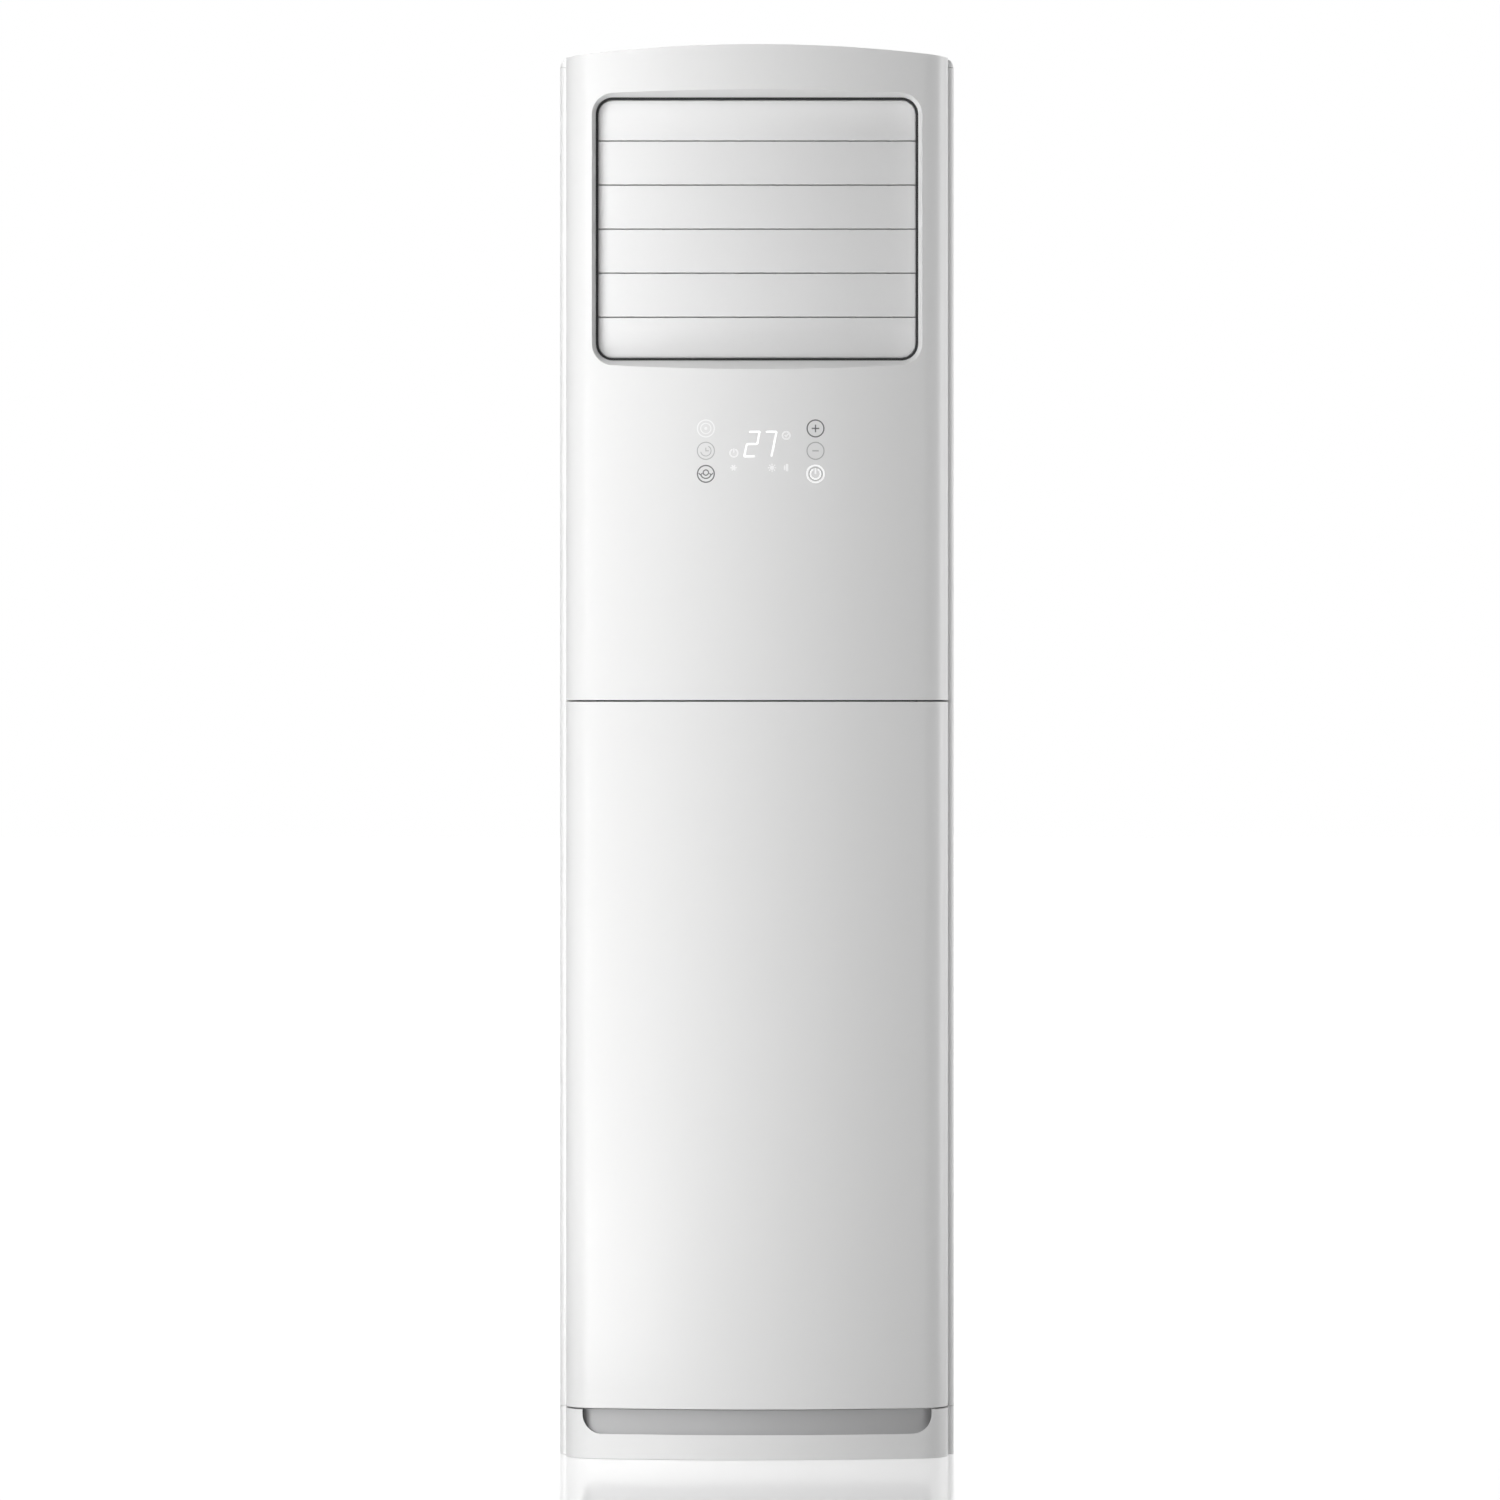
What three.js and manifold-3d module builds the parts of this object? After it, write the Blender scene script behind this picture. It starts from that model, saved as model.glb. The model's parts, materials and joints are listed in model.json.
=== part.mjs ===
// Floor standing air conditioner: a tall cabinet with a bowed front, an arched top, six horizontal
// vanes over eight upright deflector blades, and a blower, coil and drain inside.
// Millimetres. +Z up, front towards -Y, +X to the right seen from the front.
// The origin is on the floor, under the middle of the cabinet.

import * as THREE from 'three'
import { mergeGeometries, mergeVertices } from 'three/addons/utils/BufferGeometryUtils.js'
import Module from 'manifold-3d'

const wasm = await Module()
wasm.setup()

const radians = THREE.MathUtils.degToRad

// Cabinet
const cabinetHeight = 1770
const cabinetWidth = 496
const cabinetDepth = 310
const crownDrop = 14
const crownCornerRadius = 10
const frontBowRadius = 966
const frontCornerRadius = 40
const frontReturn = 15
const shoulderStep = 8
const rearCornerRadius = 4
const plinthHeight = 60.9
const middleSeamDrop = 821
const seamGap = 2
const seatGap = 0.4
const panelWall = 2.5
const sheetWall = 1.2
const rearFlange = 14
const fluteDepth = 4
const fluteWidth = 40
const fluteAcross = 90
const panelRibDepth = 8
const panelRibWall = 2
const ribEdge = 6
const ribPitch = 110
const shoulderLip = 14

// Air outlet
const outletSideMargin = 47
const outletHeight = 327.5
const outletDrop = 228.75
const outletCornerRadius = 20
const outletLineWidth = 3
const outletLineDepth = 2
const vaneFaceDepth = 43
const draftTop = 0.18
const draftBottom = 0.31
const draftSide = 0.26
const frameWall = 3
const frameSideGap = 1
const frameTopGap = 3.2
const frameLength = 99
const frameLipLength = 2.4
const frameFlange = 5
const frameTabRadius = 16
const frameTabReach = 12
const ductDrop = 60
const ductThroat = 40
const ductTurn = 120
const ductWall = 4

// Horizontal vanes
const vaneCount = 6
const vanePitch = 55.3
const vaneGap = 1.2
const vaneEndGap = 0.5
const vaneSkin = 2.6
const vaneEdgeSkin = 1.6
const vaneEdgeBevel = 0.6
const vanePivotDepth = 8
const vaneSpineRadius = 5
const vaneNeck = 4
const shaftRadius = 2.8
const shaftClearance = 0.25
const crankReach = 14
const crankLead = 25
const crankWall = 3
const crankRadius = 5
const crankPinRadius = 2
const crankPinWall = 1.6
const linkWall = 3
const linkWidth = 7
const motorShaftReach = 8

// Upright deflector blades
const bladeCount = 8
const bladeEndSpace = 32.5
const bladeChord = 56
const bladeWall = 2.4
const bladeSpineRadius = 3.4
const bladePinRadius = 2.5
const bladePivotDepth = 68
const bladeLinkReach = 22
const bladeLinkHeight = 40
const bladeNotchHeight = 12
const bladeNotchWidth = 10
const bladeNotchLead = 9
const bladeEndGap = 0.6
const bladeLinkEnd = 6
const bladeLinkThickness = 6
const bladeLinkPin = 1.6

// Stepper motors of the vanes and blades
const stepperRadius = 14
const stepperLength = 19
const stepperEarReach = 21
const stepperEarRadius = 4
const stepperBore = 12
const stepperEarWall = 2

// Blower
const wheelSideSpace = 110
const wheelBladeDepth = 24
const wheelLength = 116
const wheelFrontDepth = 128
const wheelBladeCount = 22
const wheelBladeWall = 1.6
const wheelBladeSweep = 0.16
const wheelRingWall = 2.5
const wheelHubRadius = 22
const wheelHubLength = 34
const motorShaftRadius = 6
const wheelNutRadius = 10
const wheelNutLength = 8
const blowerHeight = 372
const scrollWall = 2.5
const scrollTongueGap = 12
const scrollGrowth = 66
const scrollTongueAngle = 75
const scrollEndGap = 7
const scrollPortReach = 24
const inletSetIn = 26
const inletRingLip = 9
const inletRingWall = 2
const inletRingFlange = 18
const motorRadius = 62
const motorLength = 36
const motorBossRadius = 24
const motorBossLength = 6
const motorEdge = 8
const bracketWall = 2.5
const bracketArm = 26
const bracketRim = 10
const standWidth = 240
const standWall = 2
const standSideWall = 24
const standFoot = 20
const standLap = 10

// Coil, pan and partition
const coilSideSpace = 54
const coilTopSpace = 10.8
const coilThickness = 38
const coilLeanReach = 157
const coilEndWall = 1.5
const coilEndReach = 8
const coilFootDepth = 96
const coilFinCount = 14
const coilFinDepth = 2
const bendRows = 5
const bendRadius = 12
const bendStandOff = 4
const tubeRadius = 4.8
const partitionHeight = 652
const panHeight = 34
const panWall = 2.5
const panSideSpace = 36
const panDepth = 70
const panLead = 10
const spoutRadius = 9
const spoutLength = 22
const spoutSetIn = 30
const spoutLead = 20
const pipeClearance = 2
const partitionRim = 16

// Electrics, filters and the pipe outlet
const boxWidth = 250
const boxHeightShare = 0.57
const boxRiseShare = 0.53
const boxDepth = 42
const boxWall = 2
const boxLidWall = 1.5
const boxCorner = 5
const beamHeight = 36
const beamDepth = 10
const beamLap = 10
const beamWall = 1.5
const displayDrop = 279.65
const displayWidth = 190
const displayBoardHeight = 92
const displayHousing = 9
const displayWall = 2
const displayCorner = 4
const intakeBottom = 170
const intakeHeight = 440
const intakeFrontDepth = 96
const intakeWidth = 116
const intakeSlatCount = 12
const intakeFrame = 7
const intakeCorner = 10
const intakeFlange = 5
const intakeSlatWall = 1.8
const intakeSlatLean = 35
const slatInset = 0.4
const intakeWall = 4
const filterWall = 5
const filterBar = 7
const filterMesh = 1
const filterColumns = 2
const filterRows = 3
const filterLap = 2
const suctionRow = 1
const liquidRow = 0
const pipeHoleRadius = 42
const pipeHoleInset = 53
const pipeHoleHeight = 150
const grommetWall = 4
const grommetLip = 2.5
const grommetGap = 0.3
const pipeRadius = 8
const liquidPipeRadius = 4.8
const pipeBendRadius = 22
const pipeSpread = 13
const pipeRunDepth = 245
const pipeEndDepth = 34

// Base
const recessWidth = 437.5
const recessBottom = 31
const recessCornerRadius = 24
const recessDepth = 16
const scoopLap = 6
const plinthDeckWidth = 36
const plinthDeckCorner = 12
const basePanWall = 1.5
const basePanRim = 34
const toeWidth = 12
const toeWall = 3
const toeDrop = 6
const toeInset = 12
const toeDepth = 62
const toeClearance = 0.8

// Places worked out from the sizes above
const halfWidth = cabinetWidth / 2
const middleSeamHeight = cabinetHeight - middleSeamDrop
const boxSpace = middleSeamHeight - partitionHeight
const boxHeight = boxHeightShare * boxSpace
const boxBottom = partitionHeight + boxRiseShare * boxSpace - boxHeight / 2
const outletWidth = cabinetWidth - 2 * outletSideMargin
const outletCentreHeight = cabinetHeight - outletDrop
const displayHeight = outletCentreHeight - displayDrop
const pipeHoleAcross = halfWidth - pipeHoleInset
const frontHalfWidth = halfWidth - shoulderStep
const coilWidth = cabinetWidth - 2 * coilSideSpace
const wheelRadius = halfWidth - wheelSideSpace
const wheelBladeInnerRadius = wheelRadius - wheelBladeDepth
const inletRadius = wheelRadius - inletSetIn
const panWidth = cabinetWidth - 2 * panSideSpace
const toeAcross = frontHalfWidth - toeInset
const frontY = -cabinetDepth / 2
const backY = cabinetDepth / 2
const bowCentreY = frontY + frontBowRadius
const cornerX = frontHalfWidth - frontCornerRadius
const bowCornerReach = frontBowRadius - frontCornerRadius
const cornerY = bowCentreY - Math.sqrt(bowCornerReach ** 2 - cornerX ** 2)
const bowAngle = Math.asin(cornerX / bowCornerReach)
const shoulderY = cornerY + frontReturn
const panelRearY = shoulderY - seatGap
const crownRadius = (halfWidth ** 2 + crownDrop ** 2) / (2 * crownDrop)
const crownCornerX = halfWidth - crownCornerRadius
const crownReach = crownRadius - crownCornerRadius
const crownCentreZ = cabinetHeight - crownRadius
const skirtZ = crownCentreZ + Math.sqrt(crownReach ** 2 - crownCornerX ** 2)
const crownAngle = Math.asin(crownCornerX / crownReach)
const sidePanelBottom = plinthHeight + seatGap
const sidePanelTop = skirtZ - seatGap
const lowerPanelBottom = plinthHeight + seamGap
const lowerPanelTop = middleSeamHeight - seamGap / 2
const upperPanelBottom = middleSeamHeight + seamGap / 2
const vaneFaceY = frontY + vaneFaceDepth
const lineRearY = vaneFaceY - seatGap
const lineFrontY = lineRearY - outletLineDepth
const mouthRearY = lineFrontY - seatGap
const frameFrontY = vaneFaceY
const frameRearY = frameFrontY + frameLength
const outletHalfWidth = outletWidth / 2 - outletLineWidth / 2
const outletHalfHeight = outletHeight / 2 - outletLineWidth / 2
const frameHalfWidth = outletHalfWidth + frameSideGap
const frameHalfHeight = outletHalfHeight + frameTopGap
const bladePitch = 2 * (frameHalfWidth - bladeEndSpace) / (bladeCount - 1)
const ductBottom = outletCentreHeight - frameHalfHeight - frameWall - ductDrop
const coilHeight = ductBottom - partitionHeight - coilTopSpace
const coilLean = Math.asin(coilLeanReach / coilHeight)
const pivotY = vaneFaceY + vanePivotDepth
const bladePivotY = vaneFaceY + bladePivotDepth
const firstVaneZ = outletCentreHeight + (vaneCount - 1) / 2 * vanePitch
const motorCrankZ = firstVaneZ - vaneCount * vanePitch
const crankX = -(frameHalfWidth + frameWall + seatGap + crankWall)
const linkX = crankX - seatGap - linkWall
const crankPinY = crankReach * Math.sin(radians(crankLead))
const crankPinZ = crankReach * Math.cos(radians(crankLead))
const bladeLinkZ = outletCentreHeight - frameHalfHeight + bladeLinkHeight
const wheelFrontY = frontY + wheelFrontDepth
const wheelRearY = wheelFrontY + wheelLength
const scrollFrontY = wheelFrontY - scrollEndGap - scrollWall
const scrollRearY = wheelRearY + scrollEndGap + scrollWall
const scrollMiddleY = (scrollFrontY + scrollRearY) / 2
const scrollStartRadius = wheelRadius + scrollTongueGap
const scrollEndRadius = scrollStartRadius + scrollGrowth
const scrollTopZ = partitionHeight - seatGap
const motorFrontY = scrollRearY + seatGap + bracketWall + seatGap
const panBottomZ = partitionHeight + sheetWall + seatGap
const coilFootY = frontY + coilFootDepth
const coilFootZ = panBottomZ + panWall + seatGap
  + (coilThickness + coilEndReach) * Math.sin(coilLean)
const panFrontY = coilFootY - panLead
const drainX = panWidth / 2 - spoutSetIn
const drainY = panFrontY + spoutLead

const pipeRunY = frontY + pipeRunDepth
const pipeRuns = [
  { x: pipeHoleAcross + 2 * pipeSpread, radius: pipeRadius, row: suctionRow },
  { x: pipeHoleAcross + pipeSpread, radius: liquidPipeRadius, row: liquidRow }]

// Outlines -------------------------------------------------------------------------------------

const point = (u, v) => new THREE.Vector2(u, v)

function arc(centreU, centreV, radius, from, to, steps) {
  return Array.from({ length: steps + 1 }, (_, i) => {
    const angle = from + (to - from) * i / steps
    return point(centreU + radius * Math.cos(angle), centreV + radius * Math.sin(angle))
  })
}

// Joins stretches of points into one outline, leaving out a point that repeats the last one.
function outline(...stretches) {
  const kept = []
  for (const next of stretches.flat()) {
    const last = kept[kept.length - 1]
    if (!last || last.distanceTo(next) > 1e-4) kept.push(next)
  }
  if (kept[0].distanceTo(kept[kept.length - 1]) < 1e-4) kept.pop()
  return kept
}

// An outline with holes through it.
const pierced = (points, ...holes) => ({ points, holes })

const circle = (u, v, radius, steps = 24) => arc(u, v, radius, 0, 2 * Math.PI, steps).slice(0, -1)

// A hole's outline with its flats, not its corners, at the radius.
const bore = (u, v, radius, steps = 8) => circle(u, v, radius / Math.cos(Math.PI / steps), steps)

const rectangle = (left, right, low, high) => [
  point(left, low), point(right, low), point(right, high), point(left, high)]

function roundedRectangle(left, right, low, high, radius, steps = 6) {
  const quarter = Math.PI / 2
  return outline(
    arc(right - radius, low + radius, radius, -quarter, 0, steps),
    arc(right - radius, high - radius, radius, 0, quarter, steps),
    arc(left + radius, high - radius, radius, quarter, 2 * quarter, steps),
    arc(left + radius, low + radius, radius, 2 * quarter, 3 * quarter, steps))
}

// A bar with round ends of two sizes, from one centre to another.
function slottedBar(startU, startV, startRadius, endU, endV, endRadius, steps = 6) {
  const length = Math.hypot(endU - startU, endV - startV)
  const heading = Math.atan2(endV - startV, endU - startU)
  const lean = Math.acos((startRadius - endRadius) / length)
  return outline(
    arc(endU, endV, endRadius, heading - lean, heading + lean, steps),
    arc(startU, startV, startRadius, heading + lean, heading + 2 * Math.PI - lean, steps))
}

// Plan of the bowed front, open towards the back, drawn inwards by an inset.
function frontOutline(inset, rearY) {
  const side = frontHalfWidth - inset
  const corner = frontCornerRadius - inset
  const down = 1.5 * Math.PI
  return outline(
    [point(side, rearY), point(-side, rearY)],
    arc(-cornerX, cornerY, corner, Math.PI, down - bowAngle, 5),
    arc(0, bowCentreY, frontBowRadius - inset, down - bowAngle, down + bowAngle, 10),
    arc(cornerX, cornerY, corner, down + bowAngle, 2 * Math.PI, 5))
}

// Plan of the whole cabinet: the bowed front, the rounded shoulders and the square back.
function cabinetOutline(inset) {
  const side = halfWidth - inset
  const shoulder = shoulderStep - inset
  const rear = Math.max(rearCornerRadius - inset, 0.5)
  const rearSide = side - rear
  const rearY = backY - inset - rear
  const front = frontOutline(inset, shoulderY + inset)
  return outline(
    front.slice(1), [front[0]],
    arc(frontHalfWidth, shoulderY + shoulderStep, shoulder, -Math.PI / 2, 0, 4),
    arc(rearSide, rearY, rear, 0, Math.PI / 2, 3),
    arc(-rearSide, rearY, rear, Math.PI / 2, Math.PI, 3),
    arc(-frontHalfWidth, shoulderY + shoulderStep, shoulder, Math.PI, 1.5 * Math.PI, 4))
}

// Front view of the arched top with its rounded corners.
function archOutline(inset, bottom) {
  const side = halfWidth - inset
  const corner = crownCornerRadius - inset
  const up = Math.PI / 2
  return outline(
    [point(-side, bottom), point(side, bottom)],
    arc(crownCornerX, skirtZ, corner, 0, up - crownAngle, 3),
    arc(0, crownCentreZ, crownRadius - inset, up - crownAngle, up + crownAngle, 10),
    arc(-crownCornerX, skirtZ, corner, up + crownAngle, Math.PI, 3))
}

// Front view of the outlet, grown by a margin on each side.
function outletOutline(side, top, bottom, steps = 4) {
  const radius = outletCornerRadius + (side + (top + bottom) / 2) / 2
  return roundedRectangle(
    -outletWidth / 2 - side, outletWidth / 2 + side,
    outletCentreHeight - outletHeight / 2 - bottom, outletCentreHeight + outletHeight / 2 + top,
    radius, steps)
}

// Solids ---------------------------------------------------------------------------------------

const yToZ = new THREE.Matrix4().makeBasis(
  new THREE.Vector3(1, 0, 0), new THREE.Vector3(0, 0, 1), new THREE.Vector3(0, -1, 0))
const turnToX = new THREE.Matrix4().makeBasis(
  new THREE.Vector3(0, 1, 0), new THREE.Vector3(0, 0, 1), new THREE.Vector3(1, 0, 0))

// An outline, or an outline with holes, extruded from 0 to a depth.
function extruded(area, depth) {
  const { points, holes } = Array.isArray(area) ? pierced(area) : area
  const prism = (corners, length) =>
    new THREE.ExtrudeGeometry(new THREE.Shape(corners), { depth: length, bevelEnabled: false, curveSegments: 1 })
  const body = prism(points, depth)
  if (!holes.length) return body
  return cut(body, mergeGeometries(holes.map(hole => welded(prism(hole, depth + 2).translate(0, 0, -1)))))
}

// A plan (x, y) raised from one height to another.
function upright(area, low, high) {
  return extruded(area, high - low).translate(0, 0, low)
}

// A front view (x, z) carried from front to rear.
function endOn(area, front, rear) {
  return extruded(area, rear - front).applyMatrix4(yToZ).translate(0, rear, 0)
}

// A side view (y, z) carried from left to right.
function sideways(area, left, right) {
  return extruded(area, right - left).applyMatrix4(turnToX).translate(left, 0, 0)
}

// Keeps positions only, welds them, and drops triangles that have closed up.
function welded(geometry) {
  const bare = new THREE.BufferGeometry()
  bare.setAttribute('position', geometry.getAttribute('position').clone())
  if (geometry.index) bare.setIndex(geometry.index.clone())
  const merged = mergeVertices(bare, 1e-4)
  const kept = []
  for (let i = 0; i < merged.index.count; i += 3) {
    const [a, b, c] = [0, 1, 2].map(k => merged.index.getX(i + k))
    if (a !== b && b !== c && c !== a) kept.push(a, b, c)
  }
  merged.setIndex(kept)
  return merged
}

function solidOf(geometry) {
  const mesh = welded(geometry)
  return new wasm.Manifold(new wasm.Mesh({
    numProp: 3,
    vertProperties: new Float32Array(mesh.getAttribute('position').array),
    triVerts: new Uint32Array(mesh.index.array)
  }))
}

function geometryOf(solid) {
  const mesh = solid.getMesh()
  const geometry = new THREE.BufferGeometry()
  geometry.setAttribute('position', new THREE.BufferAttribute(new Float32Array(mesh.vertProperties), 3))
  geometry.setIndex(new THREE.BufferAttribute(new Uint32Array(mesh.triVerts), 1))
  return geometry
}

const cut = (base, ...tools) =>
  geometryOf(tools.reduce((solid, tool) => solid.subtract(solidOf(tool)), solidOf(base)))

const join = (base, ...more) =>
  geometryOf(more.reduce((solid, piece) => solid.add(solidOf(piece)), solidOf(base)))

const common = (base, ...others) =>
  geometryOf(others.reduce((solid, other) => solid.intersect(solidOf(other)), solidOf(base)))

// A closed skin through rings of equally many points, capped at both ends. The rings run
// anticlockwise seen from the last one.
function lofted(rings) {
  const count = rings[0].length
  const positions = rings.flat().flatMap(corner => [corner.x, corner.y, corner.z])
  const indices = []
  for (let ring = 0; ring < rings.length - 1; ring++) {
    for (let i = 0; i < count; i++) {
      const a = ring * count + i
      const b = ring * count + (i + 1) % count
      indices.push(a, b, b + count, a, b + count, a + count)
    }
  }
  const isLevel = rings[0].every(corner => Math.abs(corner.z - rings[0][0].z) < 1e-6)
  const flat = ring => ring.map(corner => point(corner.x, isLevel ? corner.y : corner.z))
  const last = (rings.length - 1) * count
  for (const [a, b, c] of THREE.ShapeUtils.triangulateShape(flat(rings[0]), [])) indices.push(c, b, a)
  for (const [a, b, c] of THREE.ShapeUtils.triangulateShape(flat(rings[rings.length - 1]), [])) {
    indices.push(a + last, b + last, c + last)
  }
  const geometry = new THREE.BufferGeometry()
  geometry.setAttribute('position', new THREE.Float32BufferAttribute(positions, 3))
  geometry.setIndex(indices)
  return geometry
}

// Turns every triangle over.
function turnedOver(geometry) {
  const index = geometry.index
  for (let i = 0; i < index.count; i += 3) {
    const first = index.getX(i)
    index.setX(i, index.getX(i + 2))
    index.setX(i + 2, first)
  }
  return geometry
}

// The same solid on the other side of the cabinet.
const mirrored = geometry => turnedOver(welded(geometry).scale(-1, 1, 1))

// Straight runs between corners, with each inner corner rounded.
function bentPath(corners, radius) {
  const path = new THREE.CurvePath()
  let start = corners[0]
  for (let i = 1; i < corners.length - 1; i++) {
    const into = corners[i].clone().sub(corners[i - 1]).normalize()
    const away = corners[i + 1].clone().sub(corners[i]).normalize()
    const before = corners[i].clone().addScaledVector(into, -radius)
    const after = corners[i].clone().addScaledVector(away, radius)
    if (start.distanceTo(before) > 0.1) path.add(new THREE.LineCurve3(start, before))
    path.add(new THREE.QuadraticBezierCurve3(before, corners[i], after))
    start = after
  }
  path.add(new THREE.LineCurve3(start, corners[corners.length - 1]))
  return path
}

// A path that is sampled only where it turns.
class Polyline extends THREE.Curve {
  constructor(points) {
    super()
    this.points = points
  }

  getSpacedPoints() {
    return this.points
  }

  getTangentAt(share, target = new THREE.Vector3()) {
    const last = this.points.length - 1
    const i = Math.round(share * last)
    return target.subVectors(this.points[Math.min(i + 1, last)], this.points[Math.max(i - 1, 0)]).normalize()
  }
}

// A round tube through corners, bent to a radius at each inner one.
function tube(corners, bend, radius, bendSteps, sides) {
  const points = bentPath(corners, bend).getPoints(bendSteps)
  return new THREE.ExtrudeGeometry(new THREE.Shape(circle(0, 0, radius, sides)),
    { steps: points.length - 1, extrudePath: new Polyline(points), curveSegments: 1, bevelEnabled: false })
}

// Cabinet shells -------------------------------------------------------------------------------

// A flat stiffening rib that follows the inside of a bowed front panel.
function panelRib(z, depth = panelRibDepth) {
  return cut(upright(frontOutline(panelWall - 0.2, panelRearY), z, z + panelRibWall),
    upright(frontOutline(panelWall + depth, panelRearY + 1), z - 1, z + panelRibWall + 1))
}

function frontShell(bottom, top) {
  return cut(upright(frontOutline(0, panelRearY), bottom, top),
    upright(frontOutline(panelWall, panelRearY + 1), bottom - 1, top + 1))
}

function mouthLoft(grow) {
  const reach = mouthRearY - frontY + 1
  const start = outletLineWidth / 2 + grow
  const ring = (along, y) => outletOutline(
    start + draftSide * along, start + draftTop * along, start + draftBottom * along)
    .map(corner => new THREE.Vector3(corner.x, y, corner.y))
  return lofted([ring(0, mouthRearY), ring(reach, frontY - 1)])
}

function upperFrontPanel() {
  const arch = inset => endOn(archOutline(inset, 0), frontY - 2, backY)
  const block = common(upright(frontOutline(0, panelRearY), upperPanelBottom, cabinetHeight + 1), arch(0))
  const hollow = common(
    upright(frontOutline(panelWall, panelRearY + 1), upperPanelBottom - 1, cabinetHeight + 1), arch(panelWall))
  const sleeve = common(block, mouthLoft(panelWall))
  const ribHeights = [upperPanelBottom + ribEdge, upperPanelBottom + ribPitch]
  const clearMouth = outletOutline(outletLineWidth / 2, outletLineWidth / 2, outletLineWidth / 2)
  return cut(join(cut(block, hollow), sleeve, ...ribHeights.map(z => panelRib(z))),
    mouthLoft(0), endOn(clearMouth, mouthRearY - 1, mouthRearY + 1))
}

function lowerFrontPanel() {
  const height = lowerPanelTop - lowerPanelBottom
  const ribHeights = [
    lowerPanelBottom + ribEdge / 2, lowerPanelBottom + height / 2, lowerPanelTop - ribEdge - panelRibWall]
  const toe = side => upright(rectangle(
    side * toeAcross - toeWidth / 2, side * toeAcross + toeWidth / 2,
    frontY + toeDepth, frontY + toeDepth + toeWall),
  lowerPanelBottom - seamGap - toeDrop + seatGap, lowerPanelBottom + ribEdge / 2 + panelRibWall)
  return join(frontShell(lowerPanelBottom, lowerPanelTop), ...ribHeights.map(z => panelRib(z)),
    toe(-1), toe(1))
}

function sidePanelSection() {
  const shoulderCentre = shoulderY + shoulderStep
  return outline(
    [point(frontHalfWidth - shoulderLip, shoulderY)],
    arc(frontHalfWidth, shoulderCentre, shoulderStep, -Math.PI / 2, 0, 6),
    [point(halfWidth, backY), point(halfWidth - sheetWall, backY)],
    arc(frontHalfWidth, shoulderCentre, shoulderStep - sheetWall, 0, -Math.PI / 2, 6),
    [point(frontHalfWidth - shoulderLip, shoulderY + sheetWall)])
}

const intakeFrontY = frontY + intakeFrontDepth
const intakeRearY = intakeFrontY + intakeWidth
const intakeTop = intakeBottom + intakeHeight

function sidePanel() {
  const window = roundedRectangle(
    intakeFrontY - seatGap, intakeRearY + seatGap, intakeBottom - seatGap, intakeTop + seatGap, intakeCorner, 3)
  return cut(upright(sidePanelSection(), sidePanelBottom, sidePanelTop),
    sideways(window, frontHalfWidth, halfWidth + 1))
}

// A louvred grille that fills the intake window: a frame round leaning slats.
function intakeGrille() {
  const outerX = halfWidth
  const innerX = outerX - intakeWall
  const flangeX = halfWidth - sheetWall - seatGap
  const frame = roundedRectangle(intakeFrontY, intakeRearY, intakeBottom, intakeTop, intakeCorner, 3)
  const flange = rectangle(intakeFrontY - intakeFlange, intakeRearY + intakeFlange,
    intakeBottom - intakeFlange, intakeTop + intakeFlange)
  const open = rectangle(intakeFrontY + intakeFrame, intakeRearY - intakeFrame,
    intakeBottom + intakeFrame, intakeTop - intakeFrame)
  const plate = cut(join(sideways(frame, innerX, outerX), sideways(flange, innerX, flangeX)),
    sideways(open, innerX - 1, outerX + 1))
  const pitch = (intakeHeight - 2 * intakeFrame) / (intakeSlatCount + 1)
  const drop = intakeWall * Math.tan(radians(intakeSlatLean))
  const slats = Array.from({ length: intakeSlatCount }, (_, i) => {
    const z = intakeBottom + intakeFrame + pitch * (i + 1)
    const section = [point(innerX + slatInset, z + drop / 2), point(outerX - slatInset, z - drop / 2),
      point(outerX - slatInset, z - drop / 2 + intakeSlatWall),
      point(innerX + slatInset, z + drop / 2 + intakeSlatWall)]
    return endOn(section, intakeFrontY + intakeFrame - 0.5, intakeRearY - intakeFrame + 0.5)
  })
  return join(plate, mergeGeometries(slats.map(welded)))
}

// A washable filter behind the grille: a barred frame with a thin mesh sheet in it.
function airFilter() {
  const outerX = halfWidth - intakeWall - seatGap
  const innerX = outerX - filterWall
  const barWidth = (intakeWidth - filterBar) / filterColumns - filterBar
  const barHeight = (intakeHeight - filterBar) / filterRows - filterBar
  const panes = []
  for (let row = 0; row < filterRows; row++) {
    for (let column = 0; column < filterColumns; column++) {
      const y = intakeFrontY + filterBar + column * (barWidth + filterBar)
      const z = intakeBottom + filterBar + row * (barHeight + filterBar)
      panes.push(rectangle(y, y + barWidth, z, z + barHeight))
    }
  }
  const frame = sideways(pierced(rectangle(intakeFrontY, intakeRearY, intakeBottom, intakeTop), ...panes),
    innerX, outerX)
  const middle = (innerX + outerX) / 2
  const mesh = sideways(rectangle(intakeFrontY + filterLap, intakeRearY - filterLap,
    intakeBottom + filterLap, intakeTop - filterLap),
    middle - filterMesh / 2, middle + filterMesh / 2)
  return join(frame, mesh)
}

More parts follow.
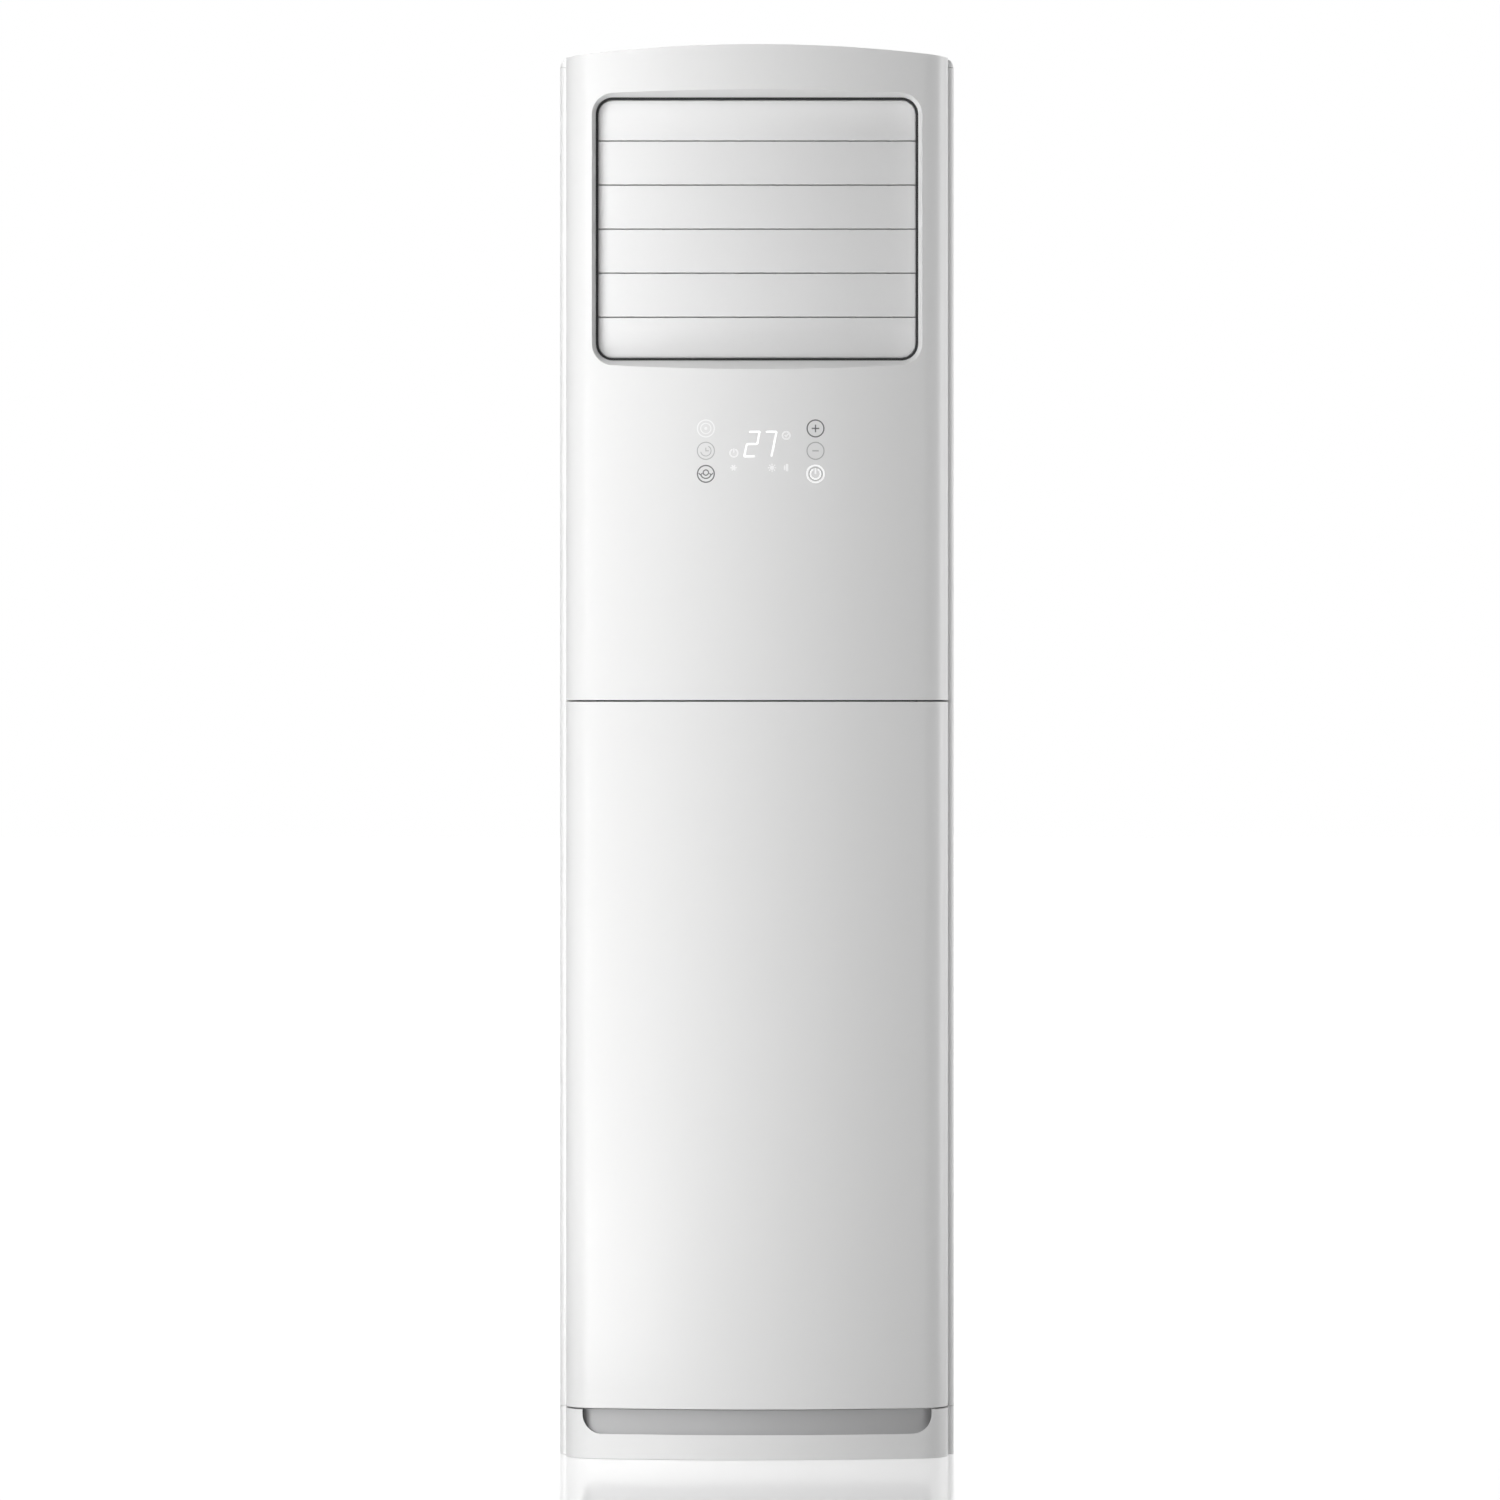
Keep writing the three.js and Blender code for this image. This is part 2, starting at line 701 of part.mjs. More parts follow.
// The lid: an arched shell with a rim on all four sides.
function topCover() {
  const body = inset => {
    const side = halfWidth - inset
    const shoulder = shoulderStep - inset
    const rear = rearCornerRadius - inset
    const plan = outline(
      arc(frontHalfWidth, shoulderY + shoulderStep, shoulder, -Math.PI / 2, 0, 4),
      arc(side - rear, backY - inset - rear, rear, 0, Math.PI / 2, 3),
      arc(-side + rear, backY - inset - rear, rear, Math.PI / 2, Math.PI, 3),
      arc(-frontHalfWidth, shoulderY + shoulderStep, shoulder, Math.PI, 1.5 * Math.PI, 4))
    return common(upright(plan, skirtZ - (inset ? 1 : 0), cabinetHeight + 1),
      endOn(archOutline(inset, 0), shoulderY - 1, backY + 1))
  }
  return cut(body(0), body(panelWall))
}

// Pressed sheet between the side panels, with two upright flutes and the pipe opening.
function rearPanel() {
  const side = halfWidth - sheetWall - seatGap
  const face = (x, depth) => point(x, backY - depth)
  const flute = (centre, extra) => [
    face(centre - fluteWidth / 2 - fluteDepth, extra), face(centre - fluteWidth / 2, fluteDepth + extra),
    face(centre + fluteWidth / 2, fluteDepth + extra), face(centre + fluteWidth / 2 + fluteDepth, extra)]
  const outer = [face(-side, 0), ...flute(-fluteAcross, 0), ...flute(fluteAcross, 0), face(side, 0)]
  const inner = [face(-side + sheetWall, sheetWall), ...flute(-fluteAcross, sheetWall),
    ...flute(fluteAcross, sheetWall), face(side - sheetWall, sheetWall)]
  const plan = [
    ...outer.reverse(), face(-side, rearFlange), face(-side + sheetWall, rearFlange), ...inner,
    face(side - sheetWall, rearFlange), face(side, rearFlange)]
  return cut(upright(plan, sidePanelBottom, sidePanelTop),
    endOn(circle(pipeHoleAcross, pipeHoleHeight, pipeHoleRadius, 20), backY - rearFlange, backY + 1))
}

// Rubber ring in the pipe opening, with a lip inside the sheet.
function pipeGrommet() {
  const bore = circle(pipeHoleAcross, pipeHoleHeight, pipeHoleRadius - grommetWall, 20)
  const body = circle(pipeHoleAcross, pipeHoleHeight, pipeHoleRadius - grommetGap, 20)
  const lip = circle(pipeHoleAcross, pipeHoleHeight, pipeHoleRadius + grommetWall, 20)
  const lipRear = backY - fluteDepth - sheetWall - seatGap
  return cut(join(endOn(body, lipRear - grommetLip, backY), endOn(lip, lipRear - grommetLip, lipRear)),
    endOn(bore, lipRear - grommetLip - 1, backY + 1))
}

// Base -----------------------------------------------------------------------------------------

function recessOutline(grow) {
  return roundedRectangle(-recessWidth / 2 - grow, recessWidth / 2 + grow,
    recessBottom - grow, recessBottom + 3 * recessCornerRadius, recessCornerRadius + grow, 6)
}

function plinth() {
  const deckUnderside = plinthHeight - panelWall
  const walls = cut(upright(cabinetOutline(0), 0, plinthHeight),
    upright(cabinetOutline(panelWall), -1, deckUnderside),
    upright(roundedRectangle(-halfWidth + plinthDeckWidth, halfWidth - plinthDeckWidth,
      frontY + 2 * plinthDeckWidth, backY - plinthDeckWidth, plinthDeckCorner, 3),
    deckUnderside - 1, plinthHeight + 1))
  const recess = cut(endOn(recessOutline(0), frontY - 1, cornerY),
    upright(frontOutline(recessDepth + panelWall + seatGap, backY), 0, plinthHeight + 1))
  const slot = side => upright(rectangle(
    side * toeAcross - toeWidth / 2 - toeClearance, side * toeAcross + toeWidth / 2 + toeClearance,
    frontY + toeDepth - toeClearance, frontY + toeDepth + toeWall + toeClearance),
  deckUnderside - 1, plinthHeight + 1)
  return cut(walls, recess, slot(-1), slot(1))
}

// Concave grey insert of the plinth recess: it starts at the lower lip and curves back and up.
function baseScoop() {
  const start = panelWall + seatGap
  const layers = 3
  const skin = extra => lofted(Array.from({ length: layers + 1 }, (_, i) => {
    const turn = i / layers * Math.PI / 2
    const inset = start + extra + (recessDepth - start) * Math.sin(turn)
    const low = recessBottom - scoopLap + 1
    const z = low + (plinthHeight - low) * (1 - Math.cos(turn))
    return frontOutline(inset, cornerY).map(corner => new THREE.Vector3(corner.x, corner.y, z))
  }))
  const reach = endOn(roundedRectangle(-recessWidth / 2 - scoopLap, recessWidth / 2 + scoopLap,
    recessBottom - scoopLap + 1.5, plinthHeight + 2 * recessCornerRadius, recessCornerRadius, 6),
  frontY, cornerY - 3)
  const above = (low, high) => upright(rectangle(-halfWidth, halfWidth, frontY, backY), low, high)
  const underDeck = cut(above(plinthHeight - panelWall - seatGap, plinthHeight + 1),
    endOn(recessOutline(-seatGap), frontY - 1, backY + 1))
  const top = above(plinthHeight, plinthHeight + 3 * recessCornerRadius)
  return cut(common(cut(skin(0), skin(panelWall)), reach), top, underDeck)
}

function basePan() {
  const side = halfWidth - panelWall - seatGap
  const front = shoulderY + panelWall + seatGap
  const rear = backY - panelWall - seatGap
  return cut(upright(roundedRectangle(-side, side, front, rear, 5, 3), 0, basePanRim),
    upright(roundedRectangle(-side + basePanWall, side - basePanWall, front + basePanWall,
      rear - basePanWall, 4, 3), basePanWall, basePanRim + 1))
}

// Outlet: mouth line, frame, vanes and blades -----------------------------------------------------

function outletGasket() {
  const half = outletLineWidth / 2
  return endOn(pierced(outletOutline(half + panelWall, half + panelWall, half + panelWall),
    outletOutline(-half, -half, -half)), lineFrontY, lineRearY)
}

const vaneHeights = Array.from({ length: vaneCount }, (_, i) => firstVaneZ - i * vanePitch)
const bladePlaces = Array.from({ length: bladeCount }, (_, i) => (i - (bladeCount - 1) / 2) * bladePitch)

function louvreFrame() {
  const wallX = frameHalfWidth + frameWall
  const wallZ = frameHalfHeight + frameWall
  const low = outletCentreHeight - wallZ
  const high = outletCentreHeight + wallZ
  const lap = outletLineWidth / 2 + panelWall
  const box = endOn(rectangle(-wallX, wallX, low, high), frameFrontY, frameRearY)
  const flange = endOn(outletOutline(lap, lap, lap), frameFrontY, frameFrontY + frameLipLength)
  const backFlange = endOn(rectangle(-wallX - frameFlange, wallX + frameFlange, low - frameFlange,
    high + frameFlange), frameRearY - frameWall, frameRearY)
  const hollow = endOn(rectangle(-frameHalfWidth, frameHalfWidth, outletCentreHeight - frameHalfHeight,
    outletCentreHeight + frameHalfHeight), frameFrontY - 1, frameRearY + 1)
  const tab = sideways(
    slottedBar(pivotY + frameTabReach, low + 1, frameTabRadius, pivotY, motorCrankZ, frameTabRadius),
    -wallX, -frameHalfWidth)
  const holeRadius = shaftRadius + shaftClearance
  const shaftHoles = [...vaneHeights, motorCrankZ].map(z =>
    sideways(bore(pivotY, z, holeRadius), -wallX - 1, -frameHalfWidth + 1))
  const farHoles = vaneHeights.map(z => sideways(bore(pivotY, z, holeRadius), frameHalfWidth - 1, wallX + 1))
  const pinHoles = bladePlaces.flatMap(x => [
    upright(bore(x, bladePivotY, bladePinRadius + shaftClearance, 6), low - 1, low + frameWall + 1),
    upright(bore(x, bladePivotY, bladePinRadius + shaftClearance, 6), high - frameWall - 1, high + 1)])
  return cut(join(box, flange, backFlange, tab), hollow,
    mergeGeometries([...shaftHoles, ...farHoles, ...pinHoles].map(welded)))
}

function crankArm() {
  const arm = sideways(slottedBar(0, 0, crankRadius, crankPinY, crankPinZ, crankPinRadius + crankPinWall, 3),
    crankX, crankX + crankWall)
  const pin = sideways(circle(crankPinY, crankPinZ, crankPinRadius, 6), crankX - seatGap - linkWall, crankX + 1)
  return join(arm, pin)
}

// One vane about its own pivot: a thin blade with a round spine, pivot shafts and a crank.
function vane(index) {
  const half = (vanePitch - vaneGap) / 2
  const highLimit = outletCentreHeight + outletHalfHeight - vaneEndGap - vaneHeights[index]
  const lowLimit = vaneHeights[index] - outletCentreHeight + outletHalfHeight - vaneEndGap
  const top = Math.min(half, highLimit)
  const bottom = -Math.min(half, lowLimit)
  const face = -vanePivotDepth
  const length = outletHalfWidth - vaneEndGap
  const neckBack = face + vaneSkin
  const spine = Math.asin(vaneNeck / 2 / vaneSpineRadius)
  const section = outline(
    [point(face + vaneEdgeBevel, bottom), point(face + vaneEdgeSkin, bottom),
      point(neckBack, -vaneNeck * 2), point(neckBack, -vaneNeck / 2)],
    arc(0, 0, vaneSpineRadius, -Math.PI + spine, Math.PI - spine, 6),
    [point(neckBack, vaneNeck / 2), point(neckBack, vaneNeck * 2), point(face + vaneEdgeSkin, top),
      point(face + vaneEdgeBevel, top), point(face, top - vaneEdgeBevel), point(face, bottom + vaneEdgeBevel)])
  const margin = -outletLineWidth / 2 - vaneEndGap
  const mouth = endOn(outletOutline(margin, margin, margin), -30, 30).translate(0, 0, -vaneHeights[index])
  const blade = common(sideways(section, -length, length), mouth)
  const shaft = sideways(circle(0, 0, shaftRadius, 8), crankX + 0.5, frameHalfWidth + frameWall)
  return join(blade, shaft, crankArm())
}

function linkBar() {
  const places = [...vaneHeights, motorCrankZ].map(z => z + crankPinZ)
  const top = places[0]
  const bottom = places[places.length - 1]
  const width = linkWidth / 2
  const bar = slottedBar(pivotY + crankPinY, top, width, pivotY + crankPinY, bottom, width, 4)
  return sideways(pierced(bar, ...places.map(z =>
    bore(pivotY + crankPinY, z, crankPinRadius + shaftClearance, 6))), linkX, linkX + linkWall)
}

function motorCrank() {
  const shaft = sideways(circle(0, 0, shaftRadius, 8), crankX + 0.5, -frameHalfWidth + motorShaftReach)
  return join(shaft, crankArm())
}

// A stepper motor drawn about its shaft: a can, two ears and a bore for the driven shaft.
function stepper(boreRadius, boreDepth) {
  const earX = stepperEarReach - stepperEarRadius
  const can = upright(circle(0, 0, stepperRadius, 16), 0, stepperLength)
  const ears = upright(slottedBar(-earX, 0, stepperEarRadius, earX, 0, stepperEarRadius, 5), 0, stepperEarWall)
  return cut(join(can, ears), upright(bore(0, 0, boreRadius), -1, boreDepth))
}

// One deflector blade about its own pivot, with a notch and pin for the link bar.
function deflectorBlade(isDriven) {
  const low = outletCentreHeight - frameHalfHeight
  const high = outletCentreHeight + frameHalfHeight
  const half = bladeChord / 2
  const edge = bladeWall / 3
  const spine = Math.asin(bladeWall / 2 / bladeSpineRadius)
  const plan = outline(
    [point(edge / 2, -half), point(bladeWall / 2, -half / 2)],
    arc(0, 0, bladeSpineRadius, -Math.PI / 2 + spine, Math.PI / 2 - spine, 2),
    [point(bladeWall / 2, half / 2), point(edge / 2, half), point(-edge / 2, half),
      point(-bladeWall / 2, half / 2)],
    arc(0, 0, bladeSpineRadius, Math.PI / 2 + spine, 1.5 * Math.PI - spine, 2),
    [point(-bladeWall / 2, -half / 2), point(-edge / 2, -half)])
  const notchHalf = bladeNotchWidth / 2
  const notch = upright(rectangle(-notchHalf, notchHalf, bladeLinkReach - bladeNotchLead, half + 1),
    bladeLinkZ - bladeNotchHeight / 2, bladeLinkZ + bladeNotchHeight / 2)
  const linkPin = upright(circle(0, bladeLinkReach, bladeLinkPin, 6),
    bladeLinkZ - bladeNotchHeight / 2 - 1, bladeLinkZ + bladeNotchHeight / 2 + 1)
  const pinTop = high + frameWall + (isDriven ? seatGap + motorShaftReach : 0)
  const pins = upright(circle(0, 0, bladePinRadius, 6), low - frameWall + 0.2, pinTop)
  return join(cut(upright(plan, low + bladeEndGap, high - bladeEndGap), notch), linkPin, pins)
}

function deflectorLink() {
  const y = bladePivotY + bladeLinkReach
  const reach = bladePlaces[bladeCount - 1] + bladeLinkEnd
  const bar = rectangle(-reach, reach, y - bladeLinkThickness / 2, y + bladeLinkThickness / 2)
  return upright(pierced(bar, ...bladePlaces.map(x => bore(x, y, bladeLinkPin + shaftClearance, 6))),
    bladeLinkZ - bladeLinkThickness / 2, bladeLinkZ + bladeLinkThickness / 2)
}

// Hood that turns the rising air forward into the louvre frame.
function outletDuct() {
  const front = frameRearY + seatGap
  const rear = backY - fluteDepth - sheetWall - seatGap
  const high = outletCentreHeight + frameHalfHeight + frameWall
  const low = outletCentreHeight - frameHalfHeight - frameWall
  const side = frameHalfWidth + frameWall
  const profile = (wall, over) => outline(
    [point(front - over, low + wall), point(front + ductThroat + wall, low + wall),
      point(front + ductThroat + wall, ductBottom - over), point(rear - wall, ductBottom - over)],
    arc(rear - ductTurn, high - ductTurn, ductTurn - wall, 0, Math.PI / 2, 8),
    [point(front - over, high - wall)])
  return cut(sideways(profile(0, 0), -side, side),
    sideways(profile(ductWall, 1), -side + ductWall, side - ductWall))
}

// Coil and drain -------------------------------------------------------------------------------

// Drawn upright at the coil's foot, then leaned back about it by the group that carries it.
function coilBlock() {
  const half = coilWidth / 2
  const pitch = coilWidth / coilFinCount
  const slots = Array.from({ length: coilFinCount - 1 }, (_, i) => {
    const x = -half + pitch * (i + 1)
    const slot = (front, rear) =>
      welded(upright(rectangle(x - pitch / 4, x + pitch / 4, front, rear), -1, coilHeight + 1))
    return [slot(-1, coilFinDepth), slot(coilThickness - coilFinDepth, coilThickness + 1)]
  })
  return cut(upright(rectangle(-half, half, 0, coilThickness), 0, coilHeight), mergeGeometries(slots.flat()))
}

const bendPitch = coilHeight / (bendRows + 0.5)
const bendHeight = row => bendPitch * (row + 0.75)

// Sheet plate at one end of the coil with its return bends brazed on, but for the rows of the pipes.
function coilEndPlate(pipeRows) {
  const inner = coilWidth / 2 + seatGap
  const outer = inner + coilEndWall
  const front = -coilEndReach + coilEndWall
  const plate = sideways(rectangle(front, coilThickness + coilEndReach, 0, coilHeight), inner, outer)
  const flange = upright(rectangle(inner, outer + coilEndReach, front, front + coilEndWall), 0, coilHeight)
  const rows = Array.from({ length: bendRows }, (_, row) => row).filter(row => !pipeRows.includes(row))
  const bends = rows.map(row => {
    const corner = (x, rise) => new THREE.Vector3(x, coilThickness / 2, bendHeight(row) + rise)
    const root = outer - coilEndWall / 2
    const top = outer + bendStandOff + bendRadius
    return tube([corner(root, -bendRadius), corner(top, -bendRadius), corner(top, bendRadius),
      corner(root, bendRadius)], bendRadius, tubeRadius, 2, 6)
  })
  return join(plate, flange, ...bends)
}

function drainPan() {
  const half = panWidth / 2
  const rear = panFrontY + panDepth
  const corner = 8
  const tray = cut(
    upright(roundedRectangle(-half, half, panFrontY, rear, corner, 3), panBottomZ, panBottomZ + panHeight),
    upright(roundedRectangle(-half + panWall, half - panWall, panFrontY + panWall, rear - panWall,
      corner - panWall, 3), panBottomZ + panWall, panBottomZ + panHeight + 1))
  const spout = upright(circle(drainX, drainY, spoutRadius, 14), panBottomZ - spoutLength, panBottomZ + panWall)
  const bore = upright(circle(drainX, drainY, spoutRadius - panWall, 14),
    panBottomZ - spoutLength - 1, panBottomZ + panWall + 1)
  return cut(join(tray, spout), bore)
}

// Sheet floor between the blower and the coil, with the blower's outlet, drain and pipe holes.
function partitionPlate() {
  const front = shoulderY + shoulderStep
  const rear = backY - fluteDepth - sheetWall - seatGap
  const notchY = backY - rearFlange - seatGap
  const plan = inset => {
    const side = halfWidth - sheetWall - seatGap - inset
    const notch = sheetWall + seatGap
    return [point(-side, front + inset), point(side, front + inset), point(side, notchY - inset),
      point(side - notch, notchY - inset), point(side - notch, rear - inset), point(-side + notch, rear - inset),
      point(-side + notch, notchY - inset), point(-side, notchY - inset)]
  }
  const tray = cut(upright(plan(0), partitionHeight - partitionRim, partitionHeight + sheetWall),
    upright(plan(sheetWall), partitionHeight - partitionRim - 1, partitionHeight))
  const port = rectangle(-scrollEndRadius, scrollPortRight, scrollFrontY + scrollWall, scrollRearY - scrollWall)
  const hole = (x, y, radius) => upright(circle(x, y, radius, 12), partitionHeight - 1, partitionHeight + 2)
  const pipeHoles = pipeRuns.map(run => hole(run.x, pipeRunY, run.radius + pipeClearance))
  return cut(tray, upright(port, partitionHeight - 1, partitionHeight + 2),
    hole(drainX, drainY, spoutRadius + 1), ...pipeHoles)
}

// Blower ---------------------------------------------------------------------------------------

const tongueAngle = radians(scrollTongueAngle)
const scrollPortRight = scrollStartRadius * Math.cos(tongueAngle) + scrollPortReach

// Front view of the scroll round the wheel's axis, opening upwards on the left.
function scrollOutline(grow, top) {
  const sweep = Math.PI + tongueAngle
  const steps = 20
  const spiral = Array.from({ length: steps + 1 }, (_, i) => {
    const share = i / steps
    const angle = Math.PI + sweep * share
    const radius = scrollEndRadius - scrollGrowth * share + grow
    return point(radius * Math.cos(angle), blowerHeight + radius * Math.sin(angle))
  })
  return outline([point(-scrollEndRadius - grow, top)], spiral, [point(scrollPortRight + grow, top)])
}

function scrollHalf(isFront) {
  const from = isFront ? scrollFrontY : scrollMiddleY + seatGap / 2
  const to = isFront ? scrollMiddleY - seatGap / 2 : scrollRearY
  const shell = cut(endOn(scrollOutline(scrollWall, scrollTopZ), from, to),
    endOn(scrollOutline(0, scrollTopZ + 1), isFront ? from + scrollWall : from - 1,
      isFront ? to + 1 : to - scrollWall))
  const hole = isFront
    ? endOn(circle(0, blowerHeight, inletRadius + 2 * scrollWall, 28), from - 1, from + scrollWall + 1)
    : endOn(circle(0, blowerHeight, motorBossRadius + 8, 28), to - scrollWall - 1, to + 1)
  return cut(shell, hole)
}

// Bell-mouthed inlet ring in front of the wheel, drawn from the scroll's front face backwards.
function inletRing() {
  const wall = inletRingWall
  const throatRear = scrollWall + scrollEndGap - 1.5
  const lipCentre = inletRadius + inletRingLip
  const backRadius = inletRingLip - wall
  const flangeFront = -seatGap - wall
  const flangeAngle = Math.PI + Math.asin(-flangeFront / backRadius)
  const profile = outline(
    [point(inletRadius, throatRear)],
    arc(lipCentre, 0, inletRingLip, Math.PI, 1.5 * Math.PI, 3),
    arc(lipCentre, 0, backRadius, 1.5 * Math.PI, flangeAngle, 2),
    [point(inletRadius + inletRingFlange, flangeFront), point(inletRadius + inletRingFlange, -seatGap),
      point(inletRadius + wall, -seatGap), point(inletRadius + wall, throatRear)])
  return new THREE.LatheGeometry([...profile, profile[0]], 20)
}

function blowerWheel() {
  const bladeMid = (wheelRadius + wheelBladeInnerRadius) / 2
  const sweep = 2
  const bladeOutline = angle => {
    const side = offset => Array.from({ length: sweep + 1 }, (_, i) => {
      const share = i / sweep
      const radius = wheelBladeInnerRadius + 1 + (wheelRadius - wheelBladeInnerRadius - 2) * share
      const turn = angle + wheelBladeSweep * Math.sin(share * Math.PI / 2) * share + offset / radius
      return point(radius * Math.cos(turn), radius * Math.sin(turn))
    })
    return [...side(-wheelBladeWall / 2), ...side(wheelBladeWall / 2).reverse()]
  }
  const blades = Array.from({ length: wheelBladeCount }, (_, i) =>
    welded(endOn(bladeOutline(2 * Math.PI * i / wheelBladeCount), 1, wheelLength - 1)))
  const ring = (from, to, inner) => endOn(pierced(circle(0, 0, wheelRadius, 24), circle(0, 0, inner, 24)), from, to)
  const rear = ring(wheelLength - wheelRingWall, wheelLength, motorShaftRadius + shaftClearance)
  const hub = endOn(pierced(circle(0, 0, wheelHubRadius, 20), circle(0, 0, motorShaftRadius + shaftClearance, 20)),
    wheelLength - wheelHubLength, wheelLength)
  return join(mergeGeometries(blades), ring(0, wheelRingWall, bladeMid), rear, hub)
}

function wheelNut() {
  return endOn(pierced(circle(0, 0, wheelNutRadius, 6), circle(0, 0, motorShaftRadius - 0.8, 12)),
    0, wheelNutLength)
}

// Flat motor behind the scroll, with its shaft reaching forward through the hub to the nut.
function blowerMotor() {
  const hubFront = wheelRearY - wheelHubLength - motorFrontY
  const threadFront = hubFront - seatGap - wheelNutLength - 2
  const threadRadius = motorShaftRadius - 1
  return new THREE.LatheGeometry([
    point(0, threadFront), point(threadRadius, threadFront), point(threadRadius, hubFront),
    point(motorShaftRadius, hubFront), point(motorShaftRadius, -motorBossLength),
    point(motorBossRadius, -motorBossLength), point(motorBossRadius, 0), point(motorRadius - motorEdge, 0),
    point(motorRadius, motorEdge), point(motorRadius, motorLength - motorEdge),
    point(motorRadius - motorEdge, motorLength), point(0, motorLength)], 18)
}

function motorBracket() {
  const ring = endOn(circle(0, blowerHeight, motorRadius + bracketRim, 20), 0, bracketWall)
  const reach = scrollStartRadius - 8
  const arm = angle => {
    const half = bracketArm / 2
    const bar = slottedBar(0, 0, half, reach * Math.cos(angle), reach * Math.sin(angle), half, 3)
    return endOn(bar, 0, bracketWall).translate(0, 0, blowerHeight)
  }
  const hole = endOn(circle(0, blowerHeight, motorBossRadius + 1, 18), -1, bracketWall + 1)
  const place = scrollRearY + seatGap
  return cut(join(ring, arm(radians(45)), arm(radians(135)), arm(radians(225)), arm(radians(315))), hole)
    .translate(0, place, 0)
}

// Sheet cradle that carries the scroll on the base pan.
function blowerStand() {
  const low = basePanWall + seatGap
  const high = blowerHeight - scrollStartRadius + standLap
  const half = standWidth / 2
  const front = scrollFrontY + 8
  const rear = scrollRearY - 8
  const block = endOn(rectangle(-half, half, low, high), front, rear)
  const hollow = endOn(rectangle(-half + standWall, half - standWall, low + standWall, high + 1),
    front + standWall, rear - standWall)
  const doorway = endOn(roundedRectangle(-half + standSideWall, half - standSideWall, low + standFoot,
    blowerHeight - scrollEndRadius - standLap, standWall * 4, 3),
    front - 1, rear + 1)
  return cut(block, hollow, doorway, endOn(scrollOutline(scrollWall + seatGap, scrollTopZ), front - 1, rear + 1))
}

// Electrics and pipes --------------------------------------------------------------------------

const beamFrontY = shoulderY + sheetWall + seatGap
const boxFrontY = beamFrontY - seatGap - boxDepth

function controlBox() {
  return cut(endOn(roundedRectangle(-boxWidth / 2, boxWidth / 2, boxBottom, boxBottom + boxHeight, boxCorner, 3),
    boxFrontY, boxFrontY + boxDepth),
  endOn(roundedRectangle(-boxWidth / 2 + boxWall, boxWidth / 2 - boxWall, boxBottom + boxWall,
    boxBottom + boxHeight - boxWall, boxCorner - boxWall, 3), boxFrontY - 1, boxFrontY + boxDepth - boxWall))
}

function controlBoxLid() {
  return endOn(roundedRectangle(-boxWidth / 2, boxWidth / 2, boxBottom, boxBottom + boxHeight, boxCorner, 3),
    boxFrontY - seatGap - boxLidWall, boxFrontY - seatGap)
}

// Channel across the cabinet behind the side panels' lips, carrying the control box.
function boxBeam() {
  const z = boxBottom + boxHeight / 2
  const half = beamHeight / 2
  const side = frontHalfWidth - shoulderLip + beamLap
  const wall = beamWall
  return cut(sideways(rectangle(beamFrontY, beamFrontY + beamDepth, z - half, z + half), -side, side),
    sideways(rectangle(beamFrontY + wall, beamFrontY + beamDepth + 1, z - half + wall, z + half - wall),
      -side - 1, side + 1))
}

function displayBoard() {
  const half = displayWidth / 2
  const faceY = bowCentreY - Math.sqrt((frontBowRadius - panelWall) ** 2 - half ** 2) + seatGap
  const low = displayHeight - displayBoardHeight / 2
  const high = displayHeight + displayBoardHeight / 2
  return cut(endOn(roundedRectangle(-half, half, low, high, displayCorner, 3), faceY, faceY + displayHousing),
    endOn(roundedRectangle(-half + displayWall, half - displayWall, low + displayWall, high - displayWall,
      displayCorner - displayWall, 3), faceY + displayWall, faceY + displayHousing + 1))
}

// A service pipe: out of the coil's end, back, down past the blower and towards the rear opening.
function servicePipe({ x, radius, row }) {
  const along = bendHeight(row)
  const across = coilThickness / 2
  const y = coilFootY + along * Math.sin(coilLean) + across * Math.cos(coilLean)
  const z = coilFootZ + along * Math.cos(coilLean) - across * Math.sin(coilLean)
  const startX = coilWidth / 2 + 2 * seatGap + coilEndWall
  const corner = (cornerX, cornerY, cornerZ) => new THREE.Vector3(cornerX, cornerY, cornerZ)
  return tube([corner(startX, y, z), corner(x, y, z), corner(x, pipeRunY, z),
    corner(x, pipeRunY, pipeHoleHeight), corner(x, backY - pipeEndDepth, pipeHoleHeight)],
  Math.min(pipeBendRadius, x - startX - 1), radius, 3, 8)
}

// Assembly -------------------------------------------------------------------------------------

const finishes = {
  shell: [0xf4f4f3, 0.38, 0],
  sheet: [0xf0f0ef, 0.45, 0.1],
  vane: [0xf1f1f0, 0.42, 0],
  scoop: [0xa9a9aa, 0.5, 0],
  rubber: [0x141414, 0.7, 0],
  zinc: [0xb9bcc0, 0.4, 0.9],
  foil: [0xc9ccd0, 0.35, 0.9],
  copper: [0xb87346, 0.3, 1],
  blackPlastic: [0x232427, 0.55, 0],
  greyPlastic: [0xd3d5d6, 0.55, 0],
  mesh: [0x3c4046, 0.7, 0]
}

const unit = new THREE.Group()

function add(name, geometry, finish, place = [0, 0, 0], parent = unit) {
  const [color, roughness, metalness] = finishes[finish]
  const mesh = new THREE.Mesh(geometry, new THREE.MeshStandardMaterial({ color, roughness, metalness }))
  mesh.name = name
  mesh.position.set(...place)
  parent.add(mesh)
  return mesh
}

